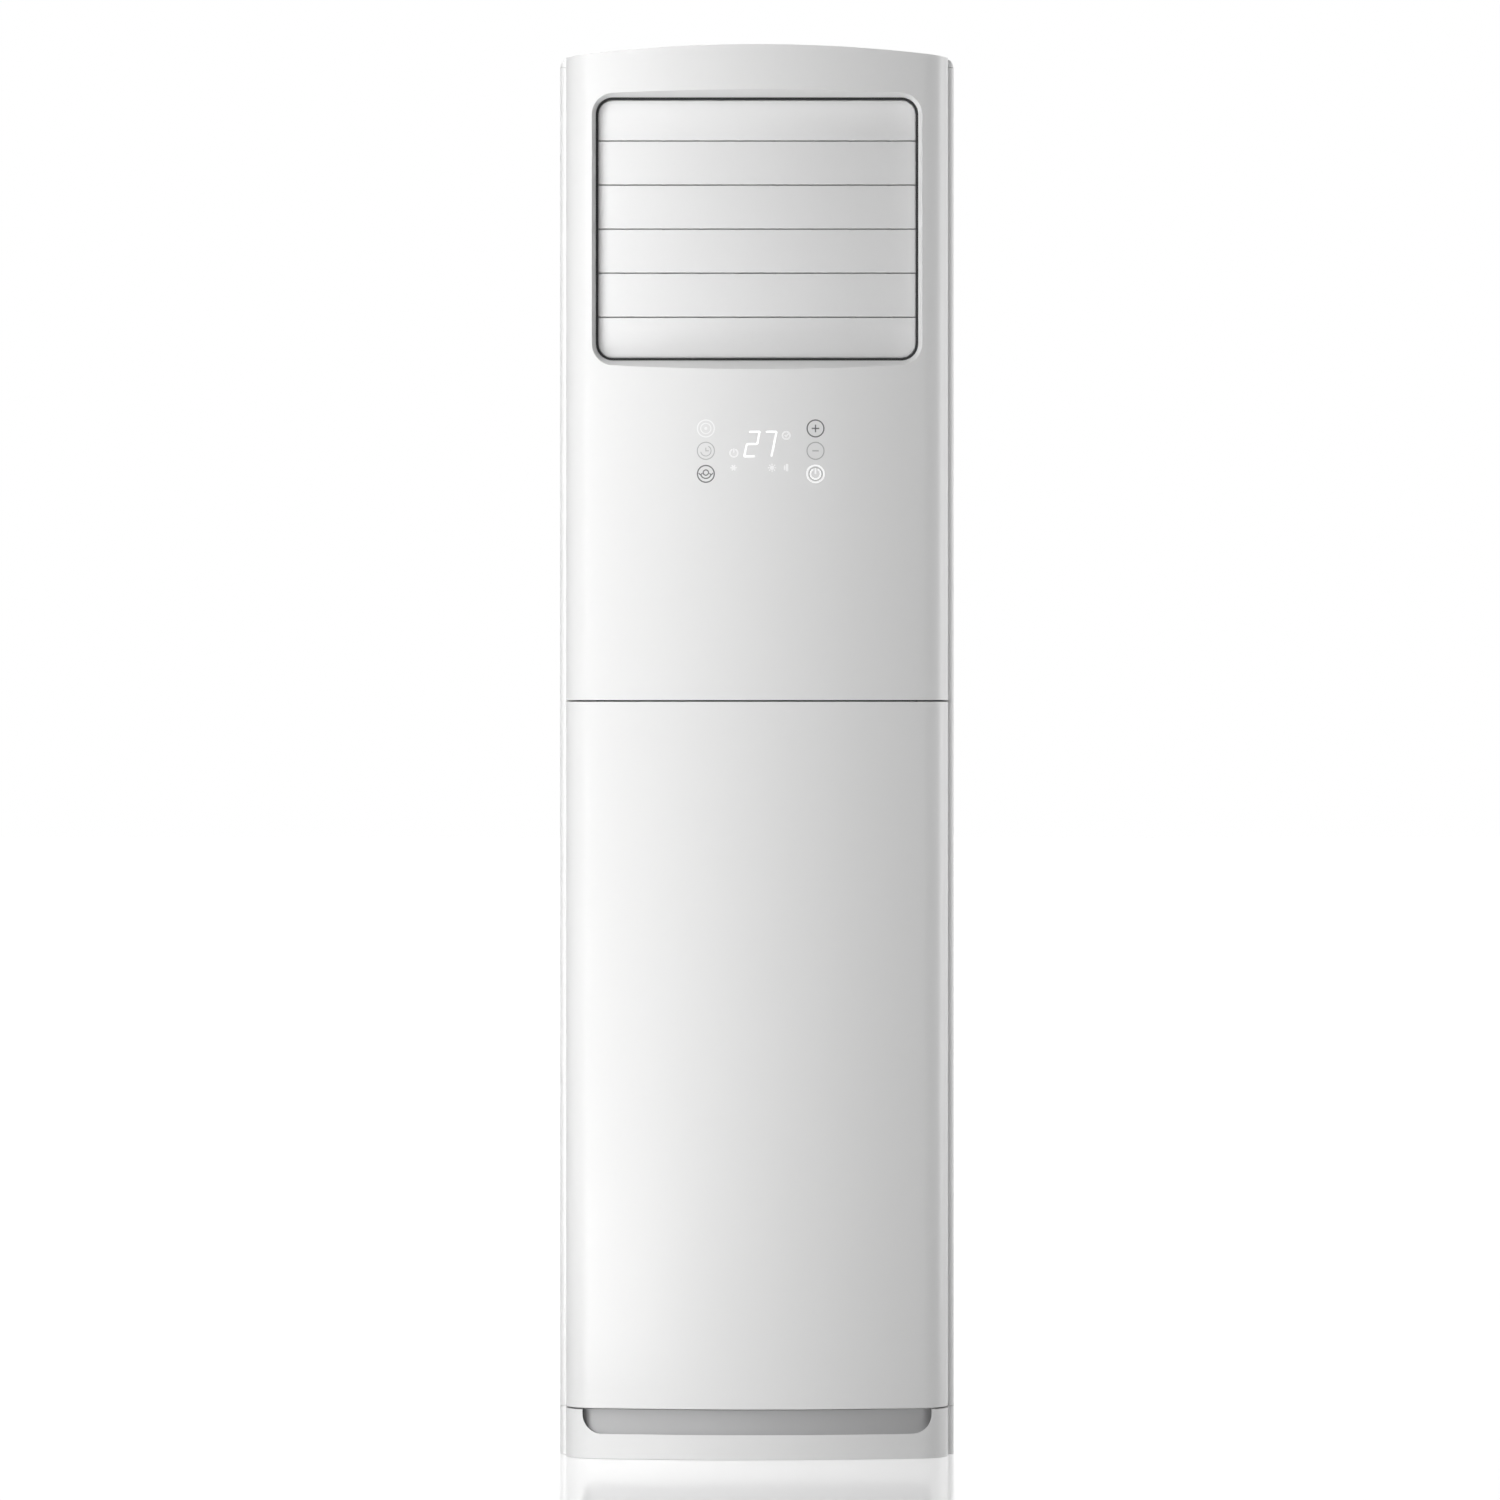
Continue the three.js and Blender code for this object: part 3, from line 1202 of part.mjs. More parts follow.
add('plinth', plinth(), 'shell')
add('base_scoop', baseScoop(), 'scoop')
add('base_pan', basePan(), 'zinc')
add('lower_front_panel', lowerFrontPanel(), 'shell')
add('upper_front_panel', upperFrontPanel(), 'shell')
const rightSide = sidePanel()
const rightGrille = intakeGrille()
const rightFilter = airFilter()
add('right_side_panel', rightSide, 'sheet')
add('left_side_panel', mirrored(rightSide), 'sheet')
add('right_intake_grille', rightGrille, 'shell')
add('left_intake_grille', mirrored(rightGrille), 'shell')
add('right_air_filter', rightFilter, 'mesh')
add('left_air_filter', mirrored(rightFilter), 'mesh')
add('rear_panel', rearPanel(), 'sheet')
add('top_cover', topCover(), 'shell')
add('pipe_grommet', pipeGrommet(), 'rubber')

add('outlet_gasket', outletGasket(), 'rubber')
add('louvre_frame', louvreFrame(), 'greyPlastic')
add('outlet_duct', outletDuct(), 'greyPlastic')
vaneHeights.forEach((z, i) => add(`vane_${i + 1}`, vane(i), 'vane', [0, pivotY, z]))
add('vane_motor_crank', motorCrank(), 'blackPlastic', [0, pivotY, motorCrankZ])
add('vane_link', linkBar(), 'blackPlastic')
const vaneMotor = add('vane_motor', stepper(shaftRadius + shaftClearance, stepperBore), 'zinc',
  [-frameHalfWidth + seatGap, pivotY, motorCrankZ])
vaneMotor.rotation.y = Math.PI / 2
const plainBlade = deflectorBlade(false)
bladePlaces.forEach((x, i) => add(`deflector_${i + 1}`, i ? plainBlade.clone() : deflectorBlade(true),
  'greyPlastic', [x, bladePivotY, 0]))
add('deflector_link', deflectorLink(), 'blackPlastic')
add('deflector_motor', stepper(bladePinRadius + shaftClearance, stepperBore), 'zinc',
  [bladePlaces[0], bladePivotY, outletCentreHeight + frameHalfHeight + frameWall + seatGap])

const coil = new THREE.Group()
coil.position.set(0, coilFootY, coilFootZ)
coil.rotation.x = -coilLean
unit.add(coil)
add('evaporator_coil', coilBlock(), 'foil', [0, 0, 0], coil)
add('coil_end_right', coilEndPlate(pipeRuns.map(run => run.row)), 'zinc', [0, 0, 0], coil)
add('coil_end_left', mirrored(coilEndPlate([])), 'zinc', [0, 0, 0], coil)
add('suction_pipe', servicePipe(pipeRuns[0]), 'copper')
add('liquid_pipe', servicePipe(pipeRuns[1]), 'copper')
add('drain_pan', drainPan(), 'blackPlastic')
add('partition_plate', partitionPlate(), 'zinc')

add('scroll_front', scrollHalf(true), 'greyPlastic')
add('scroll_rear', scrollHalf(false), 'greyPlastic')
add('blower_stand', blowerStand(), 'zinc')
add('inlet_ring', inletRing(), 'blackPlastic', [0, scrollFrontY, blowerHeight])
add('blower_wheel', blowerWheel(), 'blackPlastic', [0, wheelFrontY, blowerHeight])
add('wheel_nut', wheelNut(), 'zinc',
  [0, wheelRearY - wheelHubLength - seatGap - wheelNutLength, blowerHeight])
add('blower_motor', blowerMotor(), 'zinc', [0, motorFrontY, blowerHeight])
add('motor_bracket', motorBracket(), 'zinc')

add('control_box', controlBox(), 'zinc')
add('control_box_lid', controlBoxLid(), 'zinc')
add('control_box_beam', boxBeam(), 'zinc')
add('display_board', displayBoard(), 'blackPlastic')

export default unit
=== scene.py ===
import json
import math

import bmesh
import bpy
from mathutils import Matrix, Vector


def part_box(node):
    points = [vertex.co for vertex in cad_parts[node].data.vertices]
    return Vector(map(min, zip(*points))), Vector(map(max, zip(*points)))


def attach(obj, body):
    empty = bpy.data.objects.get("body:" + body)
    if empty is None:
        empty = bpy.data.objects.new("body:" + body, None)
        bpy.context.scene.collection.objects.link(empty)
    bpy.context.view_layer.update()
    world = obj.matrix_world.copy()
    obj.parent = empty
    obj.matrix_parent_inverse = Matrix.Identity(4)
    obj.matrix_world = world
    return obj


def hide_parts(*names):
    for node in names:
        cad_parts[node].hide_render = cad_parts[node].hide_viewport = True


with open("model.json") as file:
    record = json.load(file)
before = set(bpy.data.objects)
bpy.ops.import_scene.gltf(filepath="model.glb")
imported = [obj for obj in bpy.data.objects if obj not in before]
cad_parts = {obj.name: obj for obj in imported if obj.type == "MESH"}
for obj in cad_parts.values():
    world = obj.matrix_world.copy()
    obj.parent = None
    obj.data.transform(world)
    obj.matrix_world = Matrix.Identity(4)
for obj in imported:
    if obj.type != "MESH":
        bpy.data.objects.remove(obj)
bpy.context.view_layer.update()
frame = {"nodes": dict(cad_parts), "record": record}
print("frame: loaded", len(frame["nodes"]), "nodes")

# metres; the front is a bow between two round corners, closed by short straight returns
cabinet = {
    "half": 0.248, "frontHalf": 0.240, "frontY": -0.155, "backY": 0.155, "height": 1.770,
    "bowRadius": 0.966, "cornerRadius": 0.040, "returnDepth": 0.015, "wall": 0.0025,
    "crownDrop": 0.014, "crownSteps": 1400, "crownCut": (-0.3, 0.1), "topSpare": 0.01,
    "plinthHeight": 0.0609, "seamHeight": 0.949, "seamGap": 0.002, "seatGap": 0.0004,
    "bowSteps": 64, "cornerSteps": 14, "shoulderSteps": 6,
}
easing = {   # radius and segments of each kind of edge
    "panel": (0.0009, 3), "sheet": (0.0005, 2), "vane": (0.00035, 2), "line": (0.0004, 2),
    "toe": (0.0006, 2), "rim": (0.0007, 3), "slat": (0.0003, 2), "upright": (0.0004, 2),
    "screw": (0.0009, 3),
}
mergeGap = 0.00001
past = 0.001    # a cutting tool reaches this far past the surface that it cuts
across = 0.3    # half the width of a tool that cuts right across the cabinet
sunk = 0.0002   # a joined piece starts this far inside the wall that carries it

bowCentre = cabinet["frontY"] + cabinet["bowRadius"]
cornerX = cabinet["frontHalf"] - cabinet["cornerRadius"]
cornerReach = cabinet["bowRadius"] - cabinet["cornerRadius"]
cornerY = bowCentre - math.sqrt(cornerReach ** 2 - cornerX ** 2)
bowAngle = math.asin(cornerX / cornerReach)
quarter = math.pi / 2
shoulderY = cornerY + cabinet["returnDepth"]
panelRear = shoulderY - cabinet["seatGap"]
crownRadius = (cabinet["half"] ** 2 + cabinet["crownDrop"] ** 2) / (2 * cabinet["crownDrop"])
crownCentre = cabinet["height"] - crownRadius


def bowY(x):
    # depth of the front surface at a given distance from the middle
    return bowCentre - math.sqrt(cabinet["bowRadius"] ** 2 - x ** 2)


# small modelling steps shared by the pieces

def clearSelection():
    if bpy.context.object and bpy.context.object.mode != "OBJECT":
        bpy.ops.object.mode_set(mode="OBJECT")
    bpy.ops.object.select_all(action="DESELECT")


def makeActive(piece):
    clearSelection()
    piece.select_set(True)
    bpy.context.view_layer.objects.active = piece


def intoEdit(piece, mode="VERT"):
    makeActive(piece)
    bpy.ops.object.mode_set(mode="EDIT")
    bpy.ops.mesh.select_mode(type=mode)


def outOfEdit():
    bpy.ops.object.mode_set(mode="OBJECT")


def selectAll():
    bpy.ops.mesh.select_all(action="SELECT")


def applyPlace(location=True, rotation=True, scale=True):
    bpy.ops.object.transform_apply(location=location, rotation=rotation, scale=scale)


def choose(piece, mode, parts, test):
    # edit mode: selects the vertices, edges or faces that pass the test
    bpy.ops.mesh.select_mode(type=mode)
    shape = bmesh.from_edit_mesh(piece.data)
    for part in getattr(shape, parts):
        part.select = bool(test(part))
    if mode == "VERT":
        shape.select_flush(True)
        shape.select_flush(False)
    bmesh.update_edit_mesh(piece.data)


def moveVerts(piece, change):
    # edit mode: changes the place of every vertex
    shape = bmesh.from_edit_mesh(piece.data)
    for vert in shape.verts:
        change(vert.co)
    bmesh.update_edit_mesh(piece.data)


def shift(x=0.0, y=0.0, z=0.0):
    bpy.ops.transform.translate(value=(x, y, z))


def stretch(x=1.0, y=1.0, z=1.0):
    bpy.ops.transform.resize(value=(x, y, z), center_override=(0, 0, 0))


def pull(x=0.0, y=0.0, z=0.0):
    bpy.ops.mesh.extrude_region_move(TRANSFORM_OT_translate={"value": (x, y, z)})


def sweep(angle, steps, centreX, centreY):
    # turns what is selected from left to right
    bpy.ops.mesh.spin(steps=steps, angle=-angle, center=(centreX, centreY, 0), axis=(0, 0, 1))


def mergeDoubles():
    selectAll()
    bpy.ops.mesh.remove_doubles(threshold=mergeGap)
    selectAll()


def facesOut():
    selectAll()
    bpy.ops.mesh.normals_make_consistent(inside=False)


def finishShape():
    facesOut()
    outOfEdit()


def raisePlan(height):
    # edit mode: closes an outline seen from above and makes it a block
    mergeDoubles()
    bpy.ops.mesh.edge_face_add()
    pull(z=height)
    finishShape()


def addModifier(piece, kind, **values):
    makeActive(piece)
    modifier = piece.modifiers.new(kind.title(), kind)
    for key, value in values.items():
        setattr(modifier, key, value)
    bpy.ops.object.modifier_apply(modifier=modifier.name)


def softenEdges(piece, edge, angle=30):
    width, segments = easing[edge]
    addModifier(piece, "BEVEL", width=width, segments=segments, limit_method="ANGLE",
                angle_limit=math.radians(angle), use_clamp_overlap=True, miter_outer="MITER_ARC")


def smoothByAngle(piece, angle=32, flat=True):
    makeActive(piece)
    bpy.ops.object.shade_smooth_by_angle(angle=math.radians(angle))
    if flat:   # large flat faces stay flat beside eased edges
        addModifier(piece, "WEIGHTED_NORMAL", keep_sharp=True)


def carve(piece, tool, operation="DIFFERENCE"):
    addModifier(piece, "BOOLEAN", object=tool, operation=operation, solver="EXACT")
    bpy.data.objects.remove(tool)


def joinInto(piece, others):
    clearSelection()
    for other in others:
        other.select_set(True)
    piece.select_set(True)
    bpy.context.view_layer.objects.active = piece
    bpy.ops.object.join()


def dress(piece, body, slotName, *replaced, look=None):
    # gives a finished piece its finish and its body, and hides the CAD nodes that it stands for
    piece.data.materials.clear()
    piece.data.materials.append(finishes[look or slotName])
    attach(piece, body)
    if replaced:
        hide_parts(*replaced)
    return piece


def newPlane(name, size=1, rotation=(0, 0, 0)):
    clearSelection()
    bpy.ops.mesh.primitive_plane_add(size=size, location=(0, 0, 0), rotation=rotation)
    piece = bpy.context.object
    piece.name = name
    return piece


def loneVertex(name, x, y, z):
    piece = newPlane(name, size=0.01)
    intoEdit(piece)
    selectAll()
    bpy.ops.mesh.merge(type="CENTER")
    shift(x, y, z)
    return piece


def emptyPiece(name):
    piece = newPlane(name)
    intoEdit(piece)
    selectAll()
    bpy.ops.mesh.delete(type="VERT")
    return piece


def newBox(place, size, turn=0.0):
    clearSelection()
    bpy.ops.mesh.primitive_cube_add(size=1, location=place, rotation=(0, 0, turn), scale=size)
    applyPlace()
    return bpy.context.object


def aroundFront(rearY, bowSteps, cornerSteps):
    # carries what is selected from the left return round both corners and the bow to the right return
    pull(y=cornerY - rearY)
    sweep(quarter - bowAngle, cornerSteps, -cornerX, cornerY)
    sweep(2 * bowAngle, bowSteps, 0, bowCentre)
    sweep(quarter - bowAngle, cornerSteps, cornerX, cornerY)
    pull(y=rearY - cornerY)


def frontBlock(name, inset, rearY, low, high):
    # a solid with the cabinet's bowed front in plan
    piece = loneVertex(name, -(cabinet["frontHalf"] - inset), rearY, low)
    aroundFront(rearY, cabinet["bowSteps"], cabinet["cornerSteps"])
    raisePlan(high - low)
    return piece


def frontStrip(name, nearInset, farInset, low, high, rounding=None, steps=None):
    # a bar of rectangular section that follows the front between two insets
    piece = newPlane(name, rotation=(quarter, 0, 0))
    applyPlace(location=False, scale=False)
    intoEdit(piece)
    selectAll()
    stretch(farInset - nearInset, 1, high - low)
    middle = (nearInset + farInset) / 2
    shift(-(cabinet["frontHalf"] - middle), panelRear, (low + high) / 2)
    if rounding:
        radius, segments = easing[rounding]
        bpy.ops.mesh.bevel(offset=radius, segments=segments, affect="VERTICES")
    selectAll()
    aroundFront(panelRear, *(steps or (cabinet["bowSteps"], cabinet["cornerSteps"])))
    finishShape()
    return piece


def crownCutter(inset):
    # the arched top as a lying cylinder
    front, rear = cabinet["crownCut"]
    clearSelection()
    bpy.ops.mesh.primitive_cylinder_add(
        vertices=cabinet["crownSteps"], radius=crownRadius - inset, depth=rear - front,
        location=(0, (front + rear) / 2, crownCentre), rotation=(quarter, 0, 0))
    applyPlace(scale=False)
    return bpy.context.object


def roundedSheet(left, right, low, high, radius, y, segments):
    # edit mode: adds an upright sheet with round corners to the piece
    bpy.ops.mesh.select_all(action="DESELECT")
    bpy.ops.mesh.primitive_plane_add(size=1, location=(0, 0, 0), rotation=(quarter, 0, 0))
    stretch(right - left, 1, high - low)
    shift((left + right) / 2, y, (low + high) / 2)
    bpy.ops.mesh.bevel(offset=radius, segments=segments, affect="VERTICES")


# finishes

def newGroup(name, inputs, outputs):
    group = bpy.data.node_groups.new(name, "ShaderNodeTree")
    for label, kind, value in inputs:
        socket = group.interface.new_socket(name=label, in_out="INPUT", socket_type=kind)
        if value is not None:
            socket.default_value = value
    for label, kind in outputs:
        group.interface.new_socket(name=label, in_out="OUTPUT", socket_type=kind)
    return group, group.nodes.new("NodeGroupInput"), group.nodes.new("NodeGroupOutput")


def fillNode(tree, node, values):
    # values are plain ones, or the outputs of other nodes
    for label, value in values.items():
        if isinstance(value, bpy.types.NodeSocket):
            tree.links.new(value, node.inputs[label])
        else:
            node.inputs[label].default_value = value


def newNode(tree, kind, values, operation=None):
    node = tree.nodes.new(kind)
    if operation:
        node.operation = operation
    fillNode(tree, node, values)
    return node


def mathOf(tree, operation, *values):
    return newNode(tree, "ShaderNodeMath", dict(enumerate(values)), operation).outputs[0]


moulding = {
    "slowScale": 3.2, "slowDetail": 3.0, "marksScale": 14.0, "marksDetail": 5.0, "marksDistortion": 0.8,
    "marksLow": 0.42, "marksHigh": 0.68, "grainDetail": 2.0, "grainDepth": 0.0002,
}


def mouldedSurface():
    # fine moulding grain, a slow unevenness and faint handling marks, read from Object coordinates
    group, entry, leave = newGroup(
        "MouldedSurface",
        [("Vector", "NodeSocketVector", None), ("Colour", "NodeSocketColor", (0.8, 0.8, 0.8, 1)),
         ("Roughness", "NodeSocketFloat", 0.4), ("Grain Scale", "NodeSocketFloat", 900.0),
         ("Mottle", "NodeSocketFloat", 0.03), ("Marks", "NodeSocketFloat", 0.06)],
        [("Colour", "NodeSocketColor"), ("Roughness", "NodeSocketFloat"), ("Height", "NodeSocketFloat")])
    given = entry.outputs
    grain = newNode(group, "ShaderNodeTexNoise", {
        "Vector": given["Vector"], "Scale": given["Grain Scale"], "Detail": moulding["grainDetail"]})
    slow = newNode(group, "ShaderNodeTexNoise", {
        "Vector": given["Vector"], "Scale": moulding["slowScale"], "Detail": moulding["slowDetail"]})
    marks = newNode(group, "ShaderNodeTexNoise", {
        "Vector": given["Vector"], "Scale": moulding["marksScale"], "Detail": moulding["marksDetail"],
        "Distortion": moulding["marksDistortion"]})

    centred = mathOf(group, "SUBTRACT", slow.outputs["Fac"], 0.5)
    unevenness = mathOf(group, "MULTIPLY_ADD", centred, given["Mottle"], 1.0)
    shade = newNode(group, "ShaderNodeVectorMath", {0: given["Colour"], "Scale": unevenness}, "SCALE")
    worn = newNode(group, "ShaderNodeMapRange", {
        "Value": marks.outputs["Fac"],
        "From Min": moulding["marksLow"], "From Max": moulding["marksHigh"]})
    dulled = mathOf(group, "MULTIPLY_ADD", worn.outputs["Result"], given["Marks"], given["Roughness"])
    group.links.new(shade.outputs[0], leave.inputs["Colour"])
    group.links.new(dulled, leave.inputs["Roughness"])
    group.links.new(grain.outputs["Fac"], leave.inputs["Height"])
    return group


mouldedGroup = mouldedSurface()


def finsWithPaintedGapShade(tree, source, colour, finsAndGapShade):
    # upright fin stripes; the dark stripes are painted shade that stands for the gaps between thin fins
    wave = newNode(tree, "ShaderNodeTexWave", {"Vector": source, "Scale": math.pi / (10 * finsAndGapShade["pitch"])})
    wave.bands_direction = "X"
    gapShadeMix = tree.nodes.new("ShaderNodeMix")
    gapShadeMix.data_type = "RGBA"
    # painted shade: the colour of the shaded gaps between the fins
    gapShadeMix.inputs["A"].default_value = (*finsAndGapShade["shade"], 1)
    tree.links.new(wave.outputs["Fac"], gapShadeMix.inputs["Factor"])
    tree.links.new(colour, gapShadeMix.inputs["B"])
    return gapShadeMix.outputs["Result"]


plainLook = {   # what a look has unless it says otherwise
    "mottle": 0.03, "marks": 0.06, "bump": 0.08,
    "metallic": 0.0, "ior": 1.5, "coat": 0.0, "coatRoughness": 0.1,
}


def finishOf(name, ownLook):
    look = {**plainLook, **ownLook}
    material = bpy.data.materials.new(name)
    material.use_nodes = True
    tree = material.node_tree
    place = tree.nodes.new("ShaderNodeTexCoord").outputs["Object"]
    source = place
    if "brushed" in look:   # grain drawn out along one direction
        drawn = newNode(tree, "ShaderNodeMapping", {"Vector": place, "Scale": look["brushed"]})
        source = drawn.outputs["Vector"]
    surface = tree.nodes.new("ShaderNodeGroup")
    surface.node_tree = mouldedGroup
    fillNode(tree, surface, {
        "Vector": source, "Colour": (*look["colour"], 1), "Roughness": look["roughness"],
        "Grain Scale": look["grain"], "Mottle": look["mottle"], "Marks": look["marks"]})
    colour = surface.outputs["Colour"]
    # fin stripes with painted shade in the gaps between the fins
    if "finsAndGapShade" in look:
        colour = finsWithPaintedGapShade(tree, place, colour, look["finsAndGapShade"])
    bump = newNode(tree, "ShaderNodeBump", {
        "Strength": look["bump"], "Distance": moulding["grainDepth"],
        "Height": surface.outputs["Height"]})
    shader = tree.nodes["Principled BSDF"]
    fillNode(tree, shader, {
        "Base Color": colour, "Roughness": surface.outputs["Roughness"], "Normal": bump.outputs["Normal"],
        "Metallic": look["metallic"], "IOR": look["ior"], "Coat Weight": look["coat"],
        "Coat Roughness": look["coatRoughness"]})
    if "glow" in look:
        fillNode(tree, shader, {"Emission Color": (1, 1, 1, 1), "Emission Strength": look["glow"]})
    return material


looks = {
    "shell_white": {"colour": (0.86, 0.86, 0.858), "roughness": 0.42, "grain": 1400, "mottle": 0.012,
                    "marks": 0.05, "bump": 0.03, "coat": 0.1, "coatRoughness": 0.22},
    "sheet_white": {"colour": (0.84, 0.84, 0.838), "roughness": 0.42, "grain": 900, "mottle": 0.012,
                    "marks": 0.05, "bump": 0.06},
    "vane_white": {"colour": (0.85, 0.85, 0.85), "roughness": 0.4, "grain": 1200, "mottle": 0.012,
                   "marks": 0.05, "bump": 0.04},
    "recess_grey": {"colour": (0.52, 0.52, 0.525), "roughness": 0.5, "grain": 800},
    "black_rubber": {"colour": (0.012, 0.012, 0.013), "roughness": 0.62, "grain": 700, "bump": 0.2},
    "zinc_sheet": {"colour": (0.55, 0.56, 0.58), "roughness": 0.38, "grain": 300, "metallic": 1.0,
                   "mottle": 0.25, "marks": 0.16, "bump": 0.1},
    "fin_aluminium": {"colour": (0.62, 0.64, 0.66), "roughness": 0.34, "grain": 90, "metallic": 1.0,
                      "mottle": 0.1, "bump": 0.3, "brushed": (8, 1, 0.2),
                      # dark stripes of painted shade in the gaps between the coil's fins
                      "finsAndGapShade": {"pitch": 0.0022, "shade": (0.10, 0.105, 0.11)}},
    "copper_pipe": {"colour": (0.66, 0.30, 0.16), "roughness": 0.3, "grain": 400, "metallic": 1.0,
                    "mottle": 0.3, "marks": 0.25},
    "black_plastic": {"colour": (0.03, 0.03, 0.034), "roughness": 0.5, "grain": 900, "bump": 0.15},
    "grey_plastic": {"colour": (0.62, 0.63, 0.64), "roughness": 0.5, "grain": 900, "bump": 0.12},
    "filter_mesh": {"colour": (0.06, 0.07, 0.08), "roughness": 0.8, "grain": 1500, "bump": 0.8},
    "lit_white": {"colour": (0.93, 0.93, 0.93), "roughness": 0.5, "grain": 900,
                  "mottle": 0.01, "glow": 0.55},
    "soft_white": {"colour": (0.92, 0.92, 0.92), "roughness": 0.5, "grain": 900,
                   "mottle": 0.01, "glow": 0.24},
    "pale_white": {"colour": (0.92, 0.92, 0.92), "roughness": 0.5, "grain": 900,
                   "mottle": 0.01, "glow": 0.10},
    "mark_dark": {"colour": (0.16, 0.16, 0.165), "roughness": 0.5, "grain": 900},
    "mark_faint": {"colour": (0.50, 0.50, 0.50), "roughness": 0.5, "grain": 900},
}
finishes = {name: finishOf(name, look) for name, look in looks.items()}
slotOf = {part["node"]: part["material_slot"] for part in frame["record"]["subparts"]}
bodies = frame["record"]["behaviour"]["bodies"]
bodyOf = {node: body for body, members in bodies.items() for node in members}
for node, piece in frame["nodes"].items():
    piece.data.materials.clear()
    piece.data.materials.append(finishes[slotOf[node]])
print("finishes: made", len(finishes))

# a copied node is loose triangles, merged and made flat again first
copying = {"merge": 0.000002, "flatten": math.radians(0.4), "angle": 28}


def dressedCopy(node, edge, flat=True):
    # a CAD node's own shape with its edges eased
    piece = bpy.data.objects.new(node + ".dressed", frame["nodes"][node].data.copy())
    bpy.context.scene.collection.objects.link(piece)
    intoEdit(piece)
    selectAll()
    bpy.ops.mesh.remove_doubles(threshold=copying["merge"])
    bpy.ops.mesh.customdata_custom_splitnormals_clear()
    bpy.ops.mesh.dissolve_limited(angle_limit=copying["flatten"])
    outOfEdit()
    softenEdges(piece, edge, copying["angle"])
    smoothByAngle(piece, flat=flat)
    return dress(piece, bodyOf[node], slotOf[node], node)


# camera, light and floor

view = {"distance": 10.0, "height": 0.95, "across": -0.0088, "lens": 192.0, "shiftY": -0.0333}
cameraData = bpy.data.cameras.new("Camera")
cameraData.lens = view["lens"]
cameraData.shift_y = view["shiftY"]
camera = bpy.data.objects.new("Camera", cameraData)
camera.location = (view["across"], cabinet["frontY"] - view["distance"], view["height"])
camera.rotation_euler = (quarter, 0, 0)
bpy.context.scene.collection.objects.link(camera)
bpy.context.scene.camera = camera
bpy.context.scene.view_settings.view_transform = "Standard"

lamps = {   # place, width and height, watts, and the point that it looks at
    "KeyLeft": ((-0.80, -0.98, 1.16), (0.40, 2.30), 11.4, (-0.05, 0.0, 1.16)),
    "KeyHigh": ((-0.62, -1.05, 1.85), (0.50, 0.40), 2.0, (0.0, 0.0, 1.75)),
    "KeyLow": ((-0.60, -1.05, 0.13), (0.50, 0.18), 2.6, (0.0, 0.0, 0.06)),
    "KeyFront": ((-0.70, -3.1, 1.05), (0.9, 2.0), 6.5, (0.0, 0.0, 0.95)),
    "FillRight": ((1.6, 0.25, 1.0), (0.4, 2.6), 18.5, (0.2, 0.0, 1.0)),
    "FillBack": ((0.0, 3.0, 1.8), (1.6, 2.0), 40, (0.0, 0.0, 0.95)),
    "FillTop": ((0.1, 0.1, 4.2), (3.0, 2.4), 34, (0.0, 0.0, 1.2)),
}
floorLamps = ("FillTop",)   # the other lamps stand too near the floor to light it evenly
offFloor = bpy.data.collections.new("OffFloor")
for name, (place, size, watts, aim) in lamps.items():
    data = bpy.data.lights.new(name, "AREA")
    data.shape = "RECTANGLE"
    data.size, data.size_y = size
    data.energy = watts
    light = bpy.data.objects.new(name, data)
    light.location = place
    light.visible_camera = False
    if name not in floorLamps:
        light.light_linking.receiver_collection = offFloor
    light.rotation_euler = (Vector(aim) - Vector(place)).to_track_quat("-Z", "Y").to_euler()
    bpy.context.scene.collection.objects.link(light)


def seenWhite(tree, low, high):
    # high for camera, mirror and see-through rays, low for the rays that light the object
    rays = tree.nodes.new("ShaderNodeLightPath").outputs
    seen = mathOf(tree, "MAXIMUM", rays["Is Camera Ray"], rays["Is Glossy Ray"])
    seen = mathOf(tree, "MAXIMUM", seen, rays["Is Transmission Ray"])
    strength = newNode(tree, "ShaderNodeMapRange", {"Value": seen, "To Min": low, "To Max": high})
    return strength.outputs["Result"]


ambient = 0.02
world = bpy.data.worlds.new("Studio")
bpy.context.scene.world = world
world.use_nodes = True
fillNode(world.node_tree, world.node_tree.nodes["Background"], {
    "Color": (1, 1, 1, 1), "Strength": seenWhite(world.node_tree, ambient, 1.0)})

ground = {"size": 90, "drop": 0.0005, "shade": 0.82, "roughness": 0.12, "glow": (0.18, 0.38)}
clearSelection()
bpy.ops.mesh.primitive_plane_add(size=ground["size"], location=(0, 0, -ground["drop"]))
floor = bpy.context.object
floor.name = "Floor"
floorLook = bpy.data.materials.new("FloorWhite")
floorLook.use_nodes = True
fillNode(floorLook.node_tree, floorLook.node_tree.nodes["Principled BSDF"], {
    "Base Color": (ground["shade"],) * 3 + (1,), "Roughness": ground["roughness"],
    "Emission Color": (1, 1, 1, 1), "Emission Strength": seenWhite(floorLook.node_tree, *ground["glow"])})
floor.data.materials.append(floorLook)
offFloor.objects.link(floor)
offFloor.collection_objects[0].light_linking.link_state = "EXCLUDE"
print("studio: camera, lamps and floor")

# front panels

